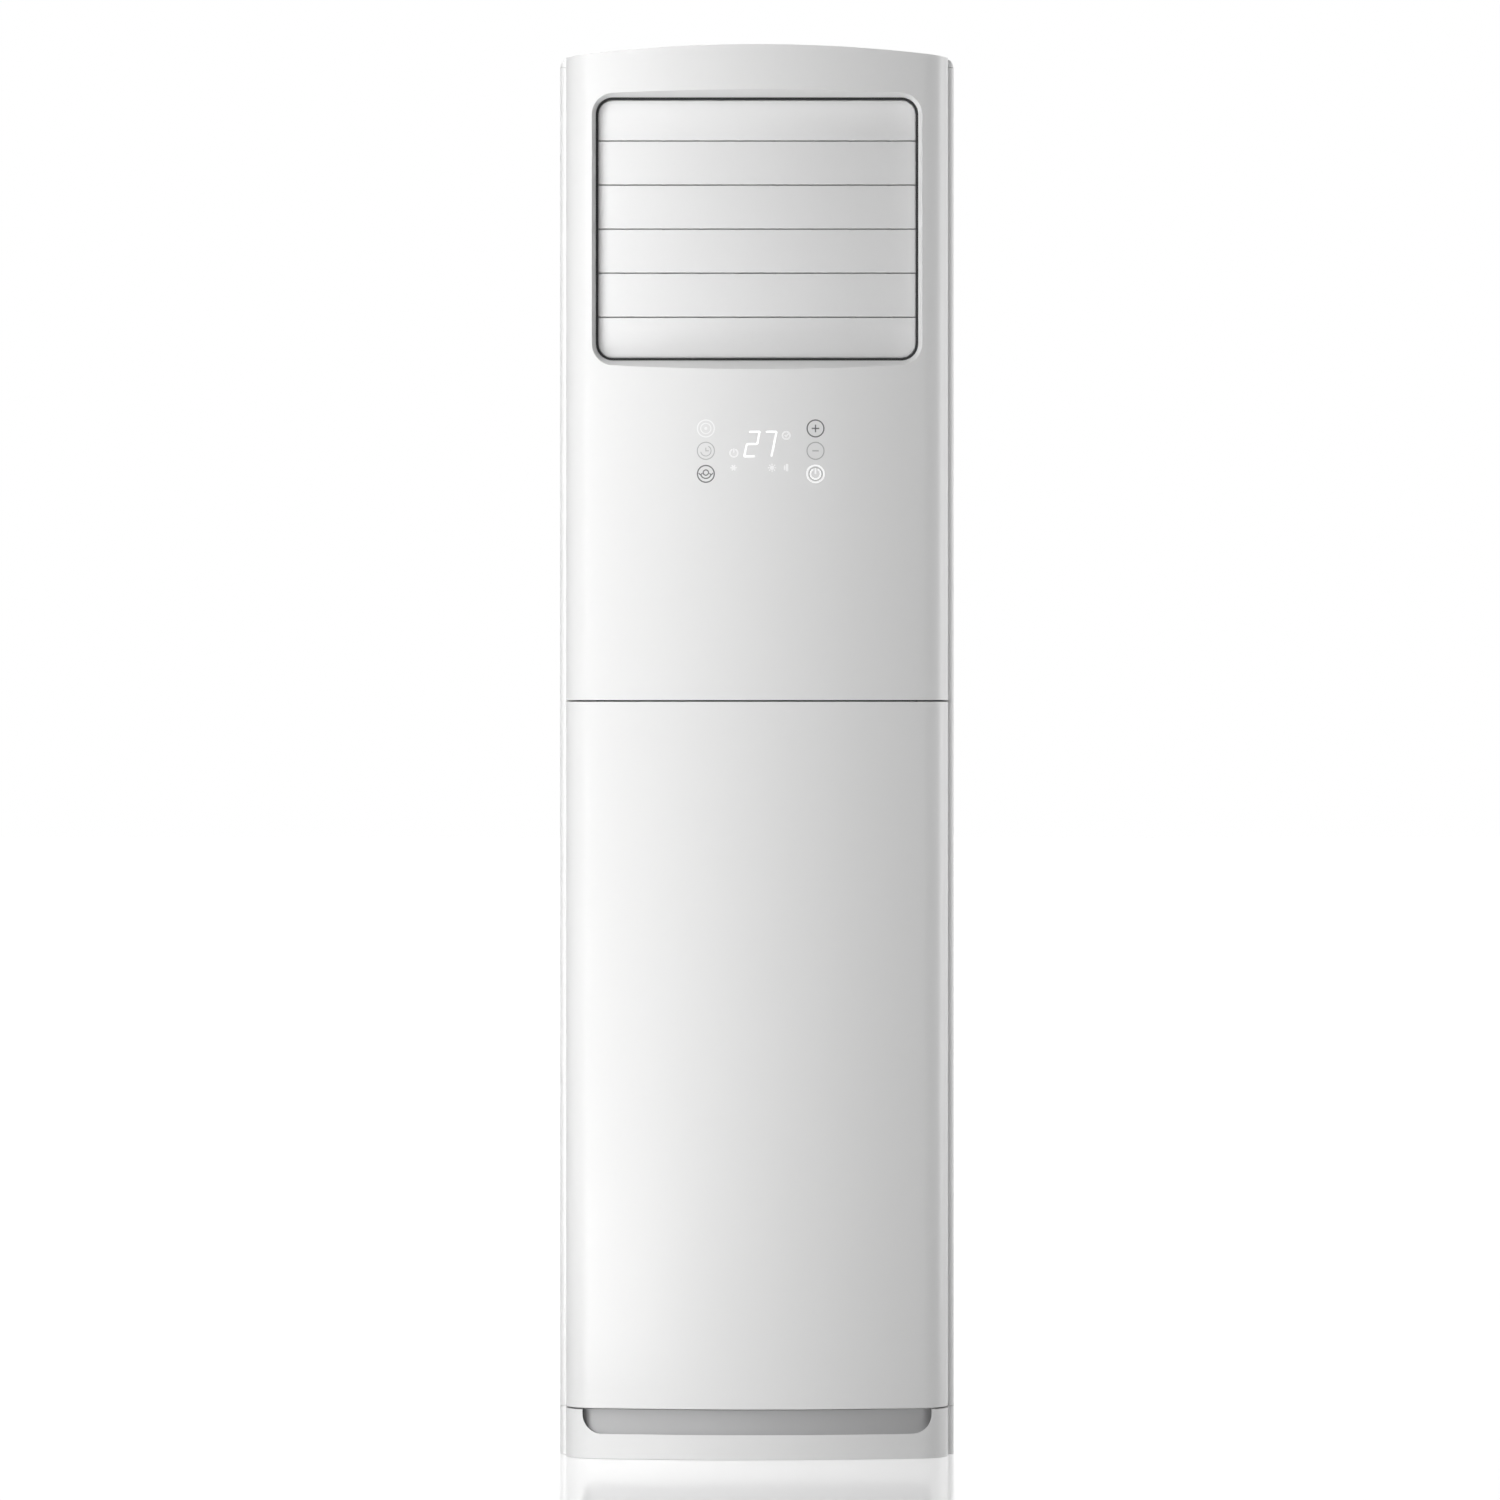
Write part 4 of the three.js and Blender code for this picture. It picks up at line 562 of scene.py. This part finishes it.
outlet = {
    "half": 0.201, "low": 1.3775, "high": 1.705, "radius": 0.020, "line": 0.003, "lap": 0.0003,
    "faceY": -0.112, "lineDepth": 0.002, "side": 0.26, "top": 0.18, "bottom": 0.31, "segments": 14,
    "sleeveLow": 0.1, "sleeveHigh": 0.06, "breach": 0.0005,
}
lineRear = outlet["faceY"] - cabinet["seatGap"]
lineFront = lineRear - outlet["lineDepth"]
mouthRear = lineFront - cabinet["seatGap"]


def mouthSheet(side, top, bottom, y):
    radius = outlet["radius"] + (side + (top + bottom) / 2) / 2
    roundedSheet(-outlet["half"] - side, outlet["half"] + side, outlet["low"] - bottom,
                 outlet["high"] + top, radius, y, outlet["segments"])


def mouthTool(grow, over):
    # a block with the mouth's round corners that widens towards the front
    tool = emptyPiece("mouthTool")
    start = outlet["line"] / 2 - outlet["lap"] + grow   # the panel laps over the line's outer edge
    reach = mouthRear - cabinet["frontY"] + past
    mouthSheet(start, start, start, mouthRear + over)
    side, top, bottom = (start + outlet[edge] * reach for edge in ("side", "top", "bottom"))
    mouthSheet(side, top, bottom, cabinet["frontY"] - past)
    selectAll()
    bpy.ops.mesh.delete(type="ONLY_FACE")
    selectAll()
    bpy.ops.mesh.bridge_edge_loops()
    selectAll()
    bpy.ops.mesh.fill_holes(sides=0)
    finishShape()
    return tool


ribs = {"deep": 0.008, "thick": 0.002, "edge": 0.006, "second": 0.110, "foot": 0.003, "steps": (24, 6)}
toe = {   # the lower panel stands on two toes in slots of the plinth
    "x": 0.228, "y": -0.0915, "rise": 0.0005,
    "size": (0.012, 0.003, 0.0156), "slot": (0.0136, 0.0046, 0.02),
}


def panelRibs(heights):
    near, far = cabinet["wall"] - sunk, cabinet["wall"] + ribs["deep"]
    return [frontStrip("rib", near, far, z, z + ribs["thick"], steps=ribs["steps"]) for z in heights]


def upperFront():
    low, high = cabinet["seamHeight"] + cabinet["seamGap"] / 2, cabinet["height"] + cabinet["topSpare"]
    wall = cabinet["wall"]
    panel = frontBlock("upperFront", 0, panelRear, low, high)
    carve(panel, crownCutter(0), "INTERSECT")
    sleeve = frontBlock("sleeve", sunk, panelRear, outlet["low"] - outlet["sleeveLow"],
                        outlet["high"] + outlet["sleeveHigh"])
    carve(sleeve, mouthTool(wall, 0), "INTERSECT")
    hollow = frontBlock("hollow", wall, panelRear + past, low - past, high)
    carve(hollow, crownCutter(wall), "INTERSECT")
    carve(panel, hollow)
    carve(panel, sleeve, "UNION")
    carve(panel, mouthTool(0, outlet["breach"]))
    softenEdges(panel, "panel")
    joinInto(panel, panelRibs([low + ribs["edge"], low + ribs["second"]]))
    smoothByAngle(panel)
    return dress(panel, "cabinet", "shell_white", "upper_front_panel")


def lowerFront():
    low = cabinet["plinthHeight"] + cabinet["seamGap"]
    high = cabinet["seamHeight"] - cabinet["seamGap"] / 2
    panel = frontStrip("lowerFront", 0, cabinet["wall"], low, high, rounding="panel")
    toes = [newBox((side * toe["x"], toe["y"], low + toe["rise"]), toe["size"]) for side in (-1, 1)]
    for piece in toes:
        softenEdges(piece, "toe")
    middle = low + (high - low) / 2
    joinInto(panel, panelRibs([low + ribs["foot"], middle, high - ribs["edge"] - ribs["thick"]]) + toes)
    smoothByAngle(panel)
    return dress(panel, "lower_panel", "shell_white", "lower_front_panel")


upperFront()
lowerFront()
print("front panels: made")


def mouthLine():
    # black rubber line round the vanes
    piece = emptyPiece("mouthLine")
    half = outlet["line"] / 2
    lap = half + cabinet["wall"]
    mouthSheet(lap, lap, lap, lineRear)
    bpy.ops.mesh.inset(thickness=lap + half)
    bpy.ops.mesh.delete(type="FACE")
    selectAll()
    pull(y=lineFront - lineRear)
    finishShape()
    softenEdges(piece, "line")
    smoothByAngle(piece)
    return dress(piece, "cabinet", "black_rubber", "outlet_gasket")


mouthLine()
for index in range(1, 7):
    dressedCopy(f"vane_{index}", "vane", flat=False)
for node in ("right_side_panel", "left_side_panel", "rear_panel"):
    dressedCopy(node, "sheet")
dressedCopy("top_cover", "panel")
print("outlet and sheets: made")

# base

base = {
    "recessHalf": 0.21875, "recessLow": 0.031, "recessRadius": 0.024, "recessDepth": 0.016,
    "recessTop": 0.048, "recessSegments": 16, "coreRear": 0.1,
    "deckWidth": 0.036, "deckCorner": 0.012, "deckSegments": 6,
    "lap": 0.006, "lipGap": 0.001, "layers": 28, "bowSteps": 56, "cornerSteps": 12, "slack": 0.0002,
    "footTrim": 0.0005, "rearTrim": 0.003, "above": 0.05, "probeZ": 0.05, "bendAngle": 40,
}
# what cuts the scoop off level under the deck
topTool = {"front": -0.2, "rear": 0.1, "high": 0.1, "corner": 0.01, "sharpCorner": 0.0001}


def uprightTool(left, right, low, high, radius, front, rear, segments):
    # a block through the front with round corners seen from the front
    tool = emptyPiece("uprightTool")
    roundedSheet(left, right, low, high, radius, front, segments)
    selectAll()
    pull(y=rear - front)
    finishShape()
    return tool


def deckTool(low, high):
    # the opening in the plinth's top, with round corners seen from above
    edge = base["deckWidth"]
    left, right = -cabinet["half"] + edge, cabinet["half"] - edge
    front, rear = cabinet["frontY"] + 2 * edge, cabinet["backY"] - edge
    tool = emptyPiece("deckTool")
    bpy.ops.mesh.primitive_plane_add(size=1, location=(0, 0, 0))
    stretch(right - left, rear - front, 1)
    shift((left + right) / 2, (front + rear) / 2, low)
    bpy.ops.mesh.bevel(offset=base["deckCorner"], segments=base["deckSegments"], affect="VERTICES")
    selectAll()
    pull(z=high - low)
    finishShape()
    return tool


def cabinetBlock(name, inset, low, high):
    # a solid with the whole cabinet's plan: bow, corners, rounded shoulders and square back
    side, front, steps = cabinet["half"] - inset, cabinet["frontHalf"], cabinet["shoulderSteps"]
    centre = shoulderY + cabinet["half"] - cabinet["frontHalf"]
    rear = cabinet["backY"] - inset
    piece = loneVertex(name, -(front - inset), shoulderY + inset, low)
    aroundFront(shoulderY + inset, cabinet["bowSteps"], cabinet["cornerSteps"])
    if inset:
        pull(x=inset)
    sweep(quarter, steps, front, centre)
    pull(y=rear - centre)
    pull(x=-2 * side)
    pull(y=centre - rear)
    sweep(quarter, steps, -front, centre)
    raisePlan(high - low)
    return piece


def plinthPiece():
    wall, high, half = cabinet["wall"], cabinet["plinthHeight"], base["recessHalf"]
    piece = cabinetBlock("plinthRing", 0, 0, high)
    carve(piece, cabinetBlock("plinthHollow", wall, -past, high - wall))
    carve(piece, deckTool(high - 2 * wall, high + past))
    recess = uprightTool(-half, half, base["recessLow"], high + base["recessTop"], base["recessRadius"],
                         cabinet["frontY"] - past, cornerY, base["recessSegments"])
    deep = base["recessDepth"] + wall + cabinet["seatGap"]
    carve(recess, frontBlock("recessCore", deep, base["coreRear"], 0, high + past))
    carve(piece, recess)
    for side in (-1, 1):
        carve(piece, newBox((side * toe["x"], toe["y"], high), toe["slot"]))
    softenEdges(piece, "panel", base["bendAngle"])
    smoothByAngle(piece, base["bendAngle"])
    return dress(piece, "cabinet", "shell_white", "plinth")


def scoopPiece():
    # the back of the hollow: a quarter round swept along the bow, from behind the lower lip up and back
    wall, gap = cabinet["wall"], cabinet["seatGap"]
    start = wall + gap
    low = base["recessLow"] - base["lap"] + base["lipGap"]
    high = cabinet["plinthHeight"]
    span = base["recessDepth"] - start
    piece = loneVertex("scoop", -(cabinet["frontHalf"] - start), cornerY, low)
    was = (start, low)
    for step in range(1, base["layers"] + 1):
        turn = step / base["layers"] * quarter
        now = (start + span * math.sin(turn), low + (high - low) * (1 - math.cos(turn)))
        pull(x=now[0] - was[0], z=now[1] - was[1])
        was = now
    selectAll()
    sweep(quarter - bowAngle, base["cornerSteps"], -cornerX, cornerY)
    sweep(2 * bowAngle, base["bowSteps"], 0, bowCentre)
    sweep(quarter - bowAngle, base["cornerSteps"], cornerX, cornerY)
    mergeDoubles()
    bpy.ops.mesh.normals_make_consistent(inside=False)
    outOfEdit()
    middle = min(piece.data.polygons,
                 key=lambda face: abs(face.center.x) + abs(face.center.z - base["probeZ"]))
    facesBack = middle.normal.y > 0
    addModifier(piece, "SOLIDIFY", thickness=wall - base["slack"], offset=1.0 if facesBack else -1.0)
    radius, segments = base["recessRadius"], base["recessSegments"]
    half = base["recessHalf"] + base["lap"]
    carve(piece, uprightTool(-half, half, low + base["footTrim"], high + base["above"], radius,
                             cabinet["frontY"], cornerY - base["rearTrim"], segments), "INTERSECT")
    front, rear, top = topTool["front"], topTool["rear"], high + topTool["high"]
    carve(piece, uprightTool(-across, across, high, top, topTool["corner"], front, rear, 2))
    underDeck = uprightTool(-across, across, high - wall - gap, top, topTool["sharpCorner"],
                            front, rear, 1)
    half = base["recessHalf"] - gap
    carve(underDeck, uprightTool(-half, half, base["recessLow"] + gap, top + base["above"], radius,
                                 front - base["above"], rear + base["above"], segments))
    carve(piece, underDeck)
    smoothByAngle(piece, base["bendAngle"])
    return dress(piece, "cabinet", "recess_grey", "base_scoop")


plinthPiece()
scoopPiece()
print("base: made")

# display and touch keys, printed and lit on the bowed panel

display = {
    "stand": 0.00012, "depth": 0.0004, "stroke": 0.0022, "digitHigh": 0.0308, "digitWide": 0.013,
    "strokeGap": 0.18, "strokePoint": 0.55, "pointing": 0.46, "lean": 0.21, "digitLow": 1.2546,
    "digits": ((-0.0160, "2"), (0.0050, "7")), "ringSides": 64, "spotSides": 28,
}
segmentsOf = {"2": "abged", "7": "abc"}
keys = {   # inner and middle are shares of the radius; the last five are shares of the line
    "x": (-0.0640, 0.0731), "z": (1.2896, 1.2616, 1.2328), "radius": 0.01125, "line": 0.0014,
    "inner": 0.62, "middle": 0.76,
    "heavy": 1.1, "firm": 0.9, "light": 0.8, "lighter": 0.7, "lightest": 0.6,
}
signs = {   # metres, and degrees anticlockwise from the right
    "drop": {"radius": 0.0019, "tall": 1.6},
    "power": {"open": (62, 118), "rise": 0.0032, "length": 0.0064},
    "wind": {"line": 0.0014, "head": 0.0040, "headRise": 0.0016, "body": 0.0074, "bodyRise": 0.0010,
             "open": (-10, 190), "feet": ((0.0078, 0.0002, -42), (0.0056, 0.0004, 42)), "foot": 0.0034},
    "plus": 0.0094, "minus": 0.0080,
    "timer": {"open": (60, 190), "rise": 0.0016, "tall": 0.0046, "side": 0.0018, "wide": 0.0040},
    "bold": 0.0013, "thin": 0.0010, "rowZ": 1.2404,
    "smallPower": {"x": -0.0290, "z": 1.2588, "radius": 0.0055, "open": (66, 114),
                   "barZ": 1.2620, "bar": 0.0052},
    "smallClock": {"x": 0.0365, "z": 1.2808, "radius": 0.0054,
                   "hands": ((0.0358, 1.2800, 0.0032, 135), (0.0376, 1.2811, 0.0050, 48))},
    "flake": {"x": -0.0294, "length": 0.0075, "turns": (0, 60, 120)},
    "sun": {"x": 0.0188, "radius": 0.0023, "reach": 0.0042, "ray": 0.0018, "rays": 8},
    "level": ((0.0376, 0.0084, 0.0024), (0.0344, 0.0052, 0.0013)),
}


def ringMark(x, z, radius, line, gap=None):
    # a flat ring facing forward; gap is the span of angles left open
    clearSelection()
    bpy.ops.mesh.primitive_circle_add(vertices=display["ringSides"], radius=radius, fill_type="NGON",
                                      location=(0, 0, 0), rotation=(quarter, 0, 0))
    mark = bpy.context.object
    applyPlace(location=False, scale=False)
    intoEdit(mark, "FACE")
    selectAll()
    bpy.ops.mesh.inset(thickness=line)
    bpy.ops.mesh.delete(type="FACE")
    if gap:
        low, high = (math.radians(angle) for angle in gap)

        def inGap(face):
            centre = face.calc_center_median()
            return (math.atan2(centre.z, centre.x) - low) % (2 * math.pi) < high - low

        choose(mark, "FACE", "faces", inGap)
        bpy.ops.mesh.delete(type="FACE")
    selectAll()
    shift(x, 0, z)
    outOfEdit()
    return mark


def barMark(x, z, length, line, angle=0, pointed=False):
    # a flat bar facing forward, turned anticlockwise, with square or pointed ends
    mark = newPlane("bar", rotation=(quarter, 0, 0))
    applyPlace(location=False, scale=False)
    intoEdit(mark)
    selectAll()
    stretch(length, 1, line)
    if pointed:
        bpy.ops.mesh.bevel(offset=line * display["pointing"], segments=1, affect="VERTICES")
    outOfEdit()
    mark.rotation_euler = (0, -math.radians(angle), 0)
    mark.location = (x, 0, z)
    makeActive(mark)
    applyPlace(scale=False)
    return mark


def spotMark(x, z, radius, tall=1.0):
    clearSelection()
    bpy.ops.mesh.primitive_circle_add(vertices=display["spotSides"], radius=radius, fill_type="NGON",
                                      location=(x, 0, z), rotation=(quarter, 0, 0), scale=(1, tall, 1))
    applyPlace()
    return bpy.context.object


def layOnBow(name, marks, slotName, look):
    # joins flat marks, gives them a little depth and lays them on the panel's bow
    def ontoBow(place):
        place.y += bowY(place.x) - display["stand"]

    piece = marks[0]
    joinInto(piece, marks[1:])
    piece.name = name
    intoEdit(piece, "FACE")
    facesOut()
    pull(y=display["depth"])
    facesOut()
    moveVerts(piece, ontoBow)
    outOfEdit()
    return dress(piece, "cabinet", slotName, look=look)


def digitMarks(left, number):
    # seven slanted strokes, of which the number's own are lit
    def slant(place):
        place.x += left + display["lean"] * place.z
        place.z += display["digitLow"]

    wide, high, stroke = display["digitWide"], display["digitHigh"], display["stroke"]
    strokes = {
        "a": (wide / 2, high, 0), "g": (wide / 2, high / 2, 0), "d": (wide / 2, 0, 0),
        "b": (wide, high * 3 / 4, 90), "c": (wide, high / 4, 90),
        "f": (0, high * 3 / 4, 90), "e": (0, high / 4, 90),
    }
    marks = []
    for letter in segmentsOf[number]:
        x, z, angle = strokes[letter]
        length = high / 2 if angle else wide
        length += stroke * (display["strokePoint"] - display["strokeGap"])
        mark = barMark(x, z, length, stroke, angle, pointed=True)
        intoEdit(mark)
        moveVerts(mark, slant)
        outOfEdit()
        marks.append(mark)
    return marks


def keyLine(share):
    return keys["line"] * keys[share]


def litMarks(x, z, radius, inner):
    power = signs["power"]
    digits = [mark for left, number in display["digits"] for mark in digitMarks(left, number)]
    return digits + [ringMark(x, z, radius, keyLine("light")),
                     barMark(x, z + power["rise"], power["length"], keyLine("firm"), 90),
                     ringMark(x, z, inner, keyLine("firm"), power["open"])]


def softMarks():
    # the small signs round the digits
    bold, thin, rowZ = signs["bold"], signs["thin"], signs["rowZ"]
    power, clock, flake, sun = (signs[name] for name in ("smallPower", "smallClock", "flake", "sun"))
    turns = [index * 2 * math.pi / sun["rays"] for index in range(sun["rays"])]
    marks = [ringMark(power["x"], power["z"], power["radius"], bold, power["open"]),
             barMark(power["x"], power["barZ"], power["bar"], thin, 90),
             ringMark(clock["x"], clock["z"], clock["radius"], bold)]
    marks += [barMark(x, z, length, thin, angle) for x, z, length, angle in clock["hands"]]
    marks += [barMark(flake["x"], rowZ, flake["length"], bold, angle) for angle in flake["turns"]]
    marks += [spotMark(sun["x"], rowZ, sun["radius"])]
    marks += [barMark(sun["x"] + sun["reach"] * math.cos(turn), rowZ + sun["reach"] * math.sin(turn),
                      sun["ray"], thin, math.degrees(turn)) for turn in turns]
    return marks + [barMark(x, rowZ, length, line, 90) for x, length, line in signs["level"]]


def windMarks(x, z, radius):
    # the air flow key: a ring, a head under an open bow, and two small feet on each side
    wind = signs["wind"]
    marks = [ringMark(x, z, radius, keyLine("heavy")),
             ringMark(x, z + wind["headRise"], wind["head"], wind["line"]),
             ringMark(x, z + wind["bodyRise"], wind["body"], wind["line"], wind["open"])]
    for side in (-1, 1):
        marks += [barMark(x + side * away, z - drop, wind["foot"], signs["bold"], 90 + side * turn)
                  for away, drop, turn in wind["feet"]]
    return marks


def displayMarks():
    (leftX, rightX), (topZ, middleZ, lowZ) = keys["x"], keys["z"]
    radius, line = keys["radius"], keys["line"]
    inner, middle = radius * keys["inner"], radius * keys["middle"]
    drop, timer, heavy = signs["drop"], signs["timer"], keyLine("heavy")
    layOnBow("litMarks", litMarks(rightX, lowZ, radius, inner), "shell_white", "lit_white")
    layOnBow("paleMarks", [
        ringMark(leftX, topZ, radius, line),
        ringMark(leftX, topZ, inner, keyLine("light")),
        spotMark(leftX, topZ, drop["radius"], drop["tall"]),
    ], "shell_white", "pale_white")
    layOnBow("softMarks", softMarks(), "shell_white", "soft_white")
    layOnBow("darkMarks", windMarks(leftX, lowZ, radius) + [
        ringMark(rightX, topZ, radius, heavy),
        barMark(rightX, topZ, signs["plus"], heavy),
        barMark(rightX, topZ, signs["plus"], heavy, 90),
    ], "black_plastic", "mark_dark")
    layOnBow("faintMarks", [
        ringMark(leftX, middleZ, radius, keyLine("light")),
        ringMark(leftX, middleZ, inner, keyLine("lighter"), timer["open"]),
        barMark(leftX, middleZ + timer["rise"], timer["tall"], signs["thin"], 90),
        barMark(leftX + timer["side"], middleZ, timer["wide"], signs["thin"]),
        ringMark(rightX, middleZ, radius, keyLine("firm")),
        barMark(rightX, middleZ, signs["minus"], line),
        ringMark(rightX, lowZ, middle, keyLine("lightest")),
    ], "grey_plastic", "mark_faint")


displayMarks()
print("display: marks laid on the bow")

# side intake grilles

grille = {
    "outer": 0.248, "wall": 0.004, "front": -0.059, "rear": 0.057, "low": 0.170, "high": 0.610,
    "corner": 0.010, "cornerSegments": 8, "frame": 0.007, "flange": 0.005, "flangeInset": 0.0016,
    "flangeWall": 0.0024, "flangeCorner": 0.001, "slats": 42, "slatWall": 0.0014, "slatTrim": 0.0008,
    "slatInset": 0.0002, "drop": 0.0026, "overlap": 0.001, "uprights": (-0.0205, 0.0185),
    "uprightWall": 0.0020, "uprightPlace": 0.0011, "rimAngle": 40,
}


def sideRing(name, x, depth, grow, radius, segments):
    # a flat frame facing the right, with its thickness inwards
    piece = emptyPiece(name)
    bpy.ops.mesh.primitive_plane_add(size=1, location=(0, 0, 0), rotation=(0, quarter, 0))
    stretch(1, grille["rear"] - grille["front"] + 2 * grow, grille["high"] - grille["low"] + 2 * grow)
    shift(x, (grille["front"] + grille["rear"]) / 2, (grille["low"] + grille["high"]) / 2)
    bpy.ops.mesh.bevel(offset=radius, segments=segments, affect="VERTICES")
    selectAll()
    bpy.ops.mesh.inset(thickness=grille["frame"] + grow)
    bpy.ops.mesh.delete(type="FACE")
    selectAll()
    pull(x=-depth)
    finishShape()
    return piece


def slatStack(inner):
    # one sloping slat, repeated up the opening
    middle = (grille["outer"] + inner) / 2
    pitch = (grille["high"] - grille["low"] - 2 * grille["frame"]) / (grille["slats"] + 1)
    slat = newBox(
        (middle - grille["slatInset"], (grille["front"] + grille["rear"]) / 2,
         grille["low"] + grille["frame"] + pitch),
        (grille["wall"] - grille["slatTrim"],
         grille["rear"] - grille["front"] - 2 * grille["frame"] + grille["overlap"], grille["slatWall"]))
    intoEdit(slat)
    choose(slat, "VERT", "verts", lambda vert: vert.co.x > middle)
    shift(z=-grille["drop"] / 2)
    choose(slat, "VERT", "verts", lambda vert: vert.co.x < middle)
    shift(z=grille["drop"] / 2)
    outOfEdit()
    softenEdges(slat, "slat")
    addModifier(slat, "ARRAY", count=grille["slats"], use_relative_offset=False, use_constant_offset=True,
                constant_offset_displace=(0, 0, pitch))
    return slat


def intakeGrille(side, node):
    outer, inner = grille["outer"], grille["outer"] - grille["wall"]
    rim = sideRing("intakeRim", outer, grille["wall"], 0, grille["corner"], grille["cornerSegments"])
    softenEdges(rim, "rim", grille["rimAngle"])
    flange = sideRing("intakeFlange", outer - grille["flangeInset"], grille["flangeWall"],
                      grille["flange"], grille["flangeCorner"], 1)
    pieces = [flange, slatStack(inner)]
    tall = grille["high"] - grille["low"] - 2 * grille["frame"] + grille["overlap"]
    for y in grille["uprights"]:
        pieces.append(newBox((inner + grille["uprightPlace"], y, (grille["low"] + grille["high"]) / 2),
                             (grille["uprightWall"], grille["uprightWall"], tall)))
        softenEdges(pieces[-1], "upright")
    joinInto(rim, pieces)
    rim.name = node + ".louvred"
    if side < 0:   # the left one is the mirror image
        intoEdit(rim)
        selectAll()
        stretch(x=-1)
        finishShape()
    smoothByAngle(rim, grille["rimAngle"])
    return dress(rim, bodyOf[node], slotOf[node], node)


intakeGrille(1, "right_intake_grille")
intakeGrille(-1, "left_intake_grille")
print("intake grilles: made")

# screws

screw = {
    "radius": 0.0042, "sides": 32, "high": 0.0014, "cross": 0.0046, "slot": 0.0011, "deep": 0.0008,
    "turn": 0.7, "smooth": 40,
    "rearX": 0.2390, "rearZ": (0.100, 0.500, 0.900, 1.300, 1.700), "lidInset": 0.009,
}


def screwHead():
    # a low round head with a crossed recess, standing up along Z
    high = screw["high"]
    clearSelection()
    bpy.ops.mesh.primitive_cylinder_add(vertices=screw["sides"], radius=screw["radius"], depth=high,
                                        location=(0, 0, high / 2))
    head = bpy.context.object
    applyPlace()
    intoEdit(head, "EDGE")
    choose(head, "EDGE", "edges", lambda edge: min(vert.co.z for vert in edge.verts) > high - mergeGap)
    radius, segments = easing["screw"]
    bpy.ops.mesh.bevel(offset=radius, segments=segments, affect="EDGES")
    outOfEdit()
    for turn in (0, quarter):
        carve(head, newBox((0, 0, high), (screw["cross"], screw["slot"], 2 * screw["deep"]), turn))
    smoothByAngle(head, screw["smooth"])
    return head


def screwsAt(name, places, facing, body):
    # copies of one head, turned to face a direction
    head = screwHead()
    turn = Vector((0, 0, 1)).rotation_difference(Vector(facing)).to_euler()
    copies = []
    for index, place in enumerate(places):
        copy = bpy.data.objects.new(name, head.data.copy())
        bpy.context.scene.collection.objects.link(copy)
        copy.rotation_euler = (0, 0, index * screw["turn"])
        makeActive(copy)
        applyPlace(location=False, scale=False)
        copy.rotation_euler = turn
        copy.location = place
        applyPlace(scale=False)
        copies.append(copy)
    bpy.data.objects.remove(head)
    joinInto(copies[0], copies[1:])
    copies[0].name = name
    return dress(copies[0], body, "zinc_sheet")


screwsAt("rearScrews", [(side * screw["rearX"], cabinet["backY"], z) for side in (-1, 1)
                        for z in screw["rearZ"]], (0, 1, 0), "cabinet")
lidLow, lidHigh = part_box("control_box_lid")
inset = screw["lidInset"]
screwsAt("lidScrews", [(side * (lidHigh[0] - inset), lidLow[1], z) for side in (-1, 1)
                       for z in (lidLow[2] + inset, lidHigh[2] - inset)], (0, -1, 0), "cabinet")
print("screws: placed")
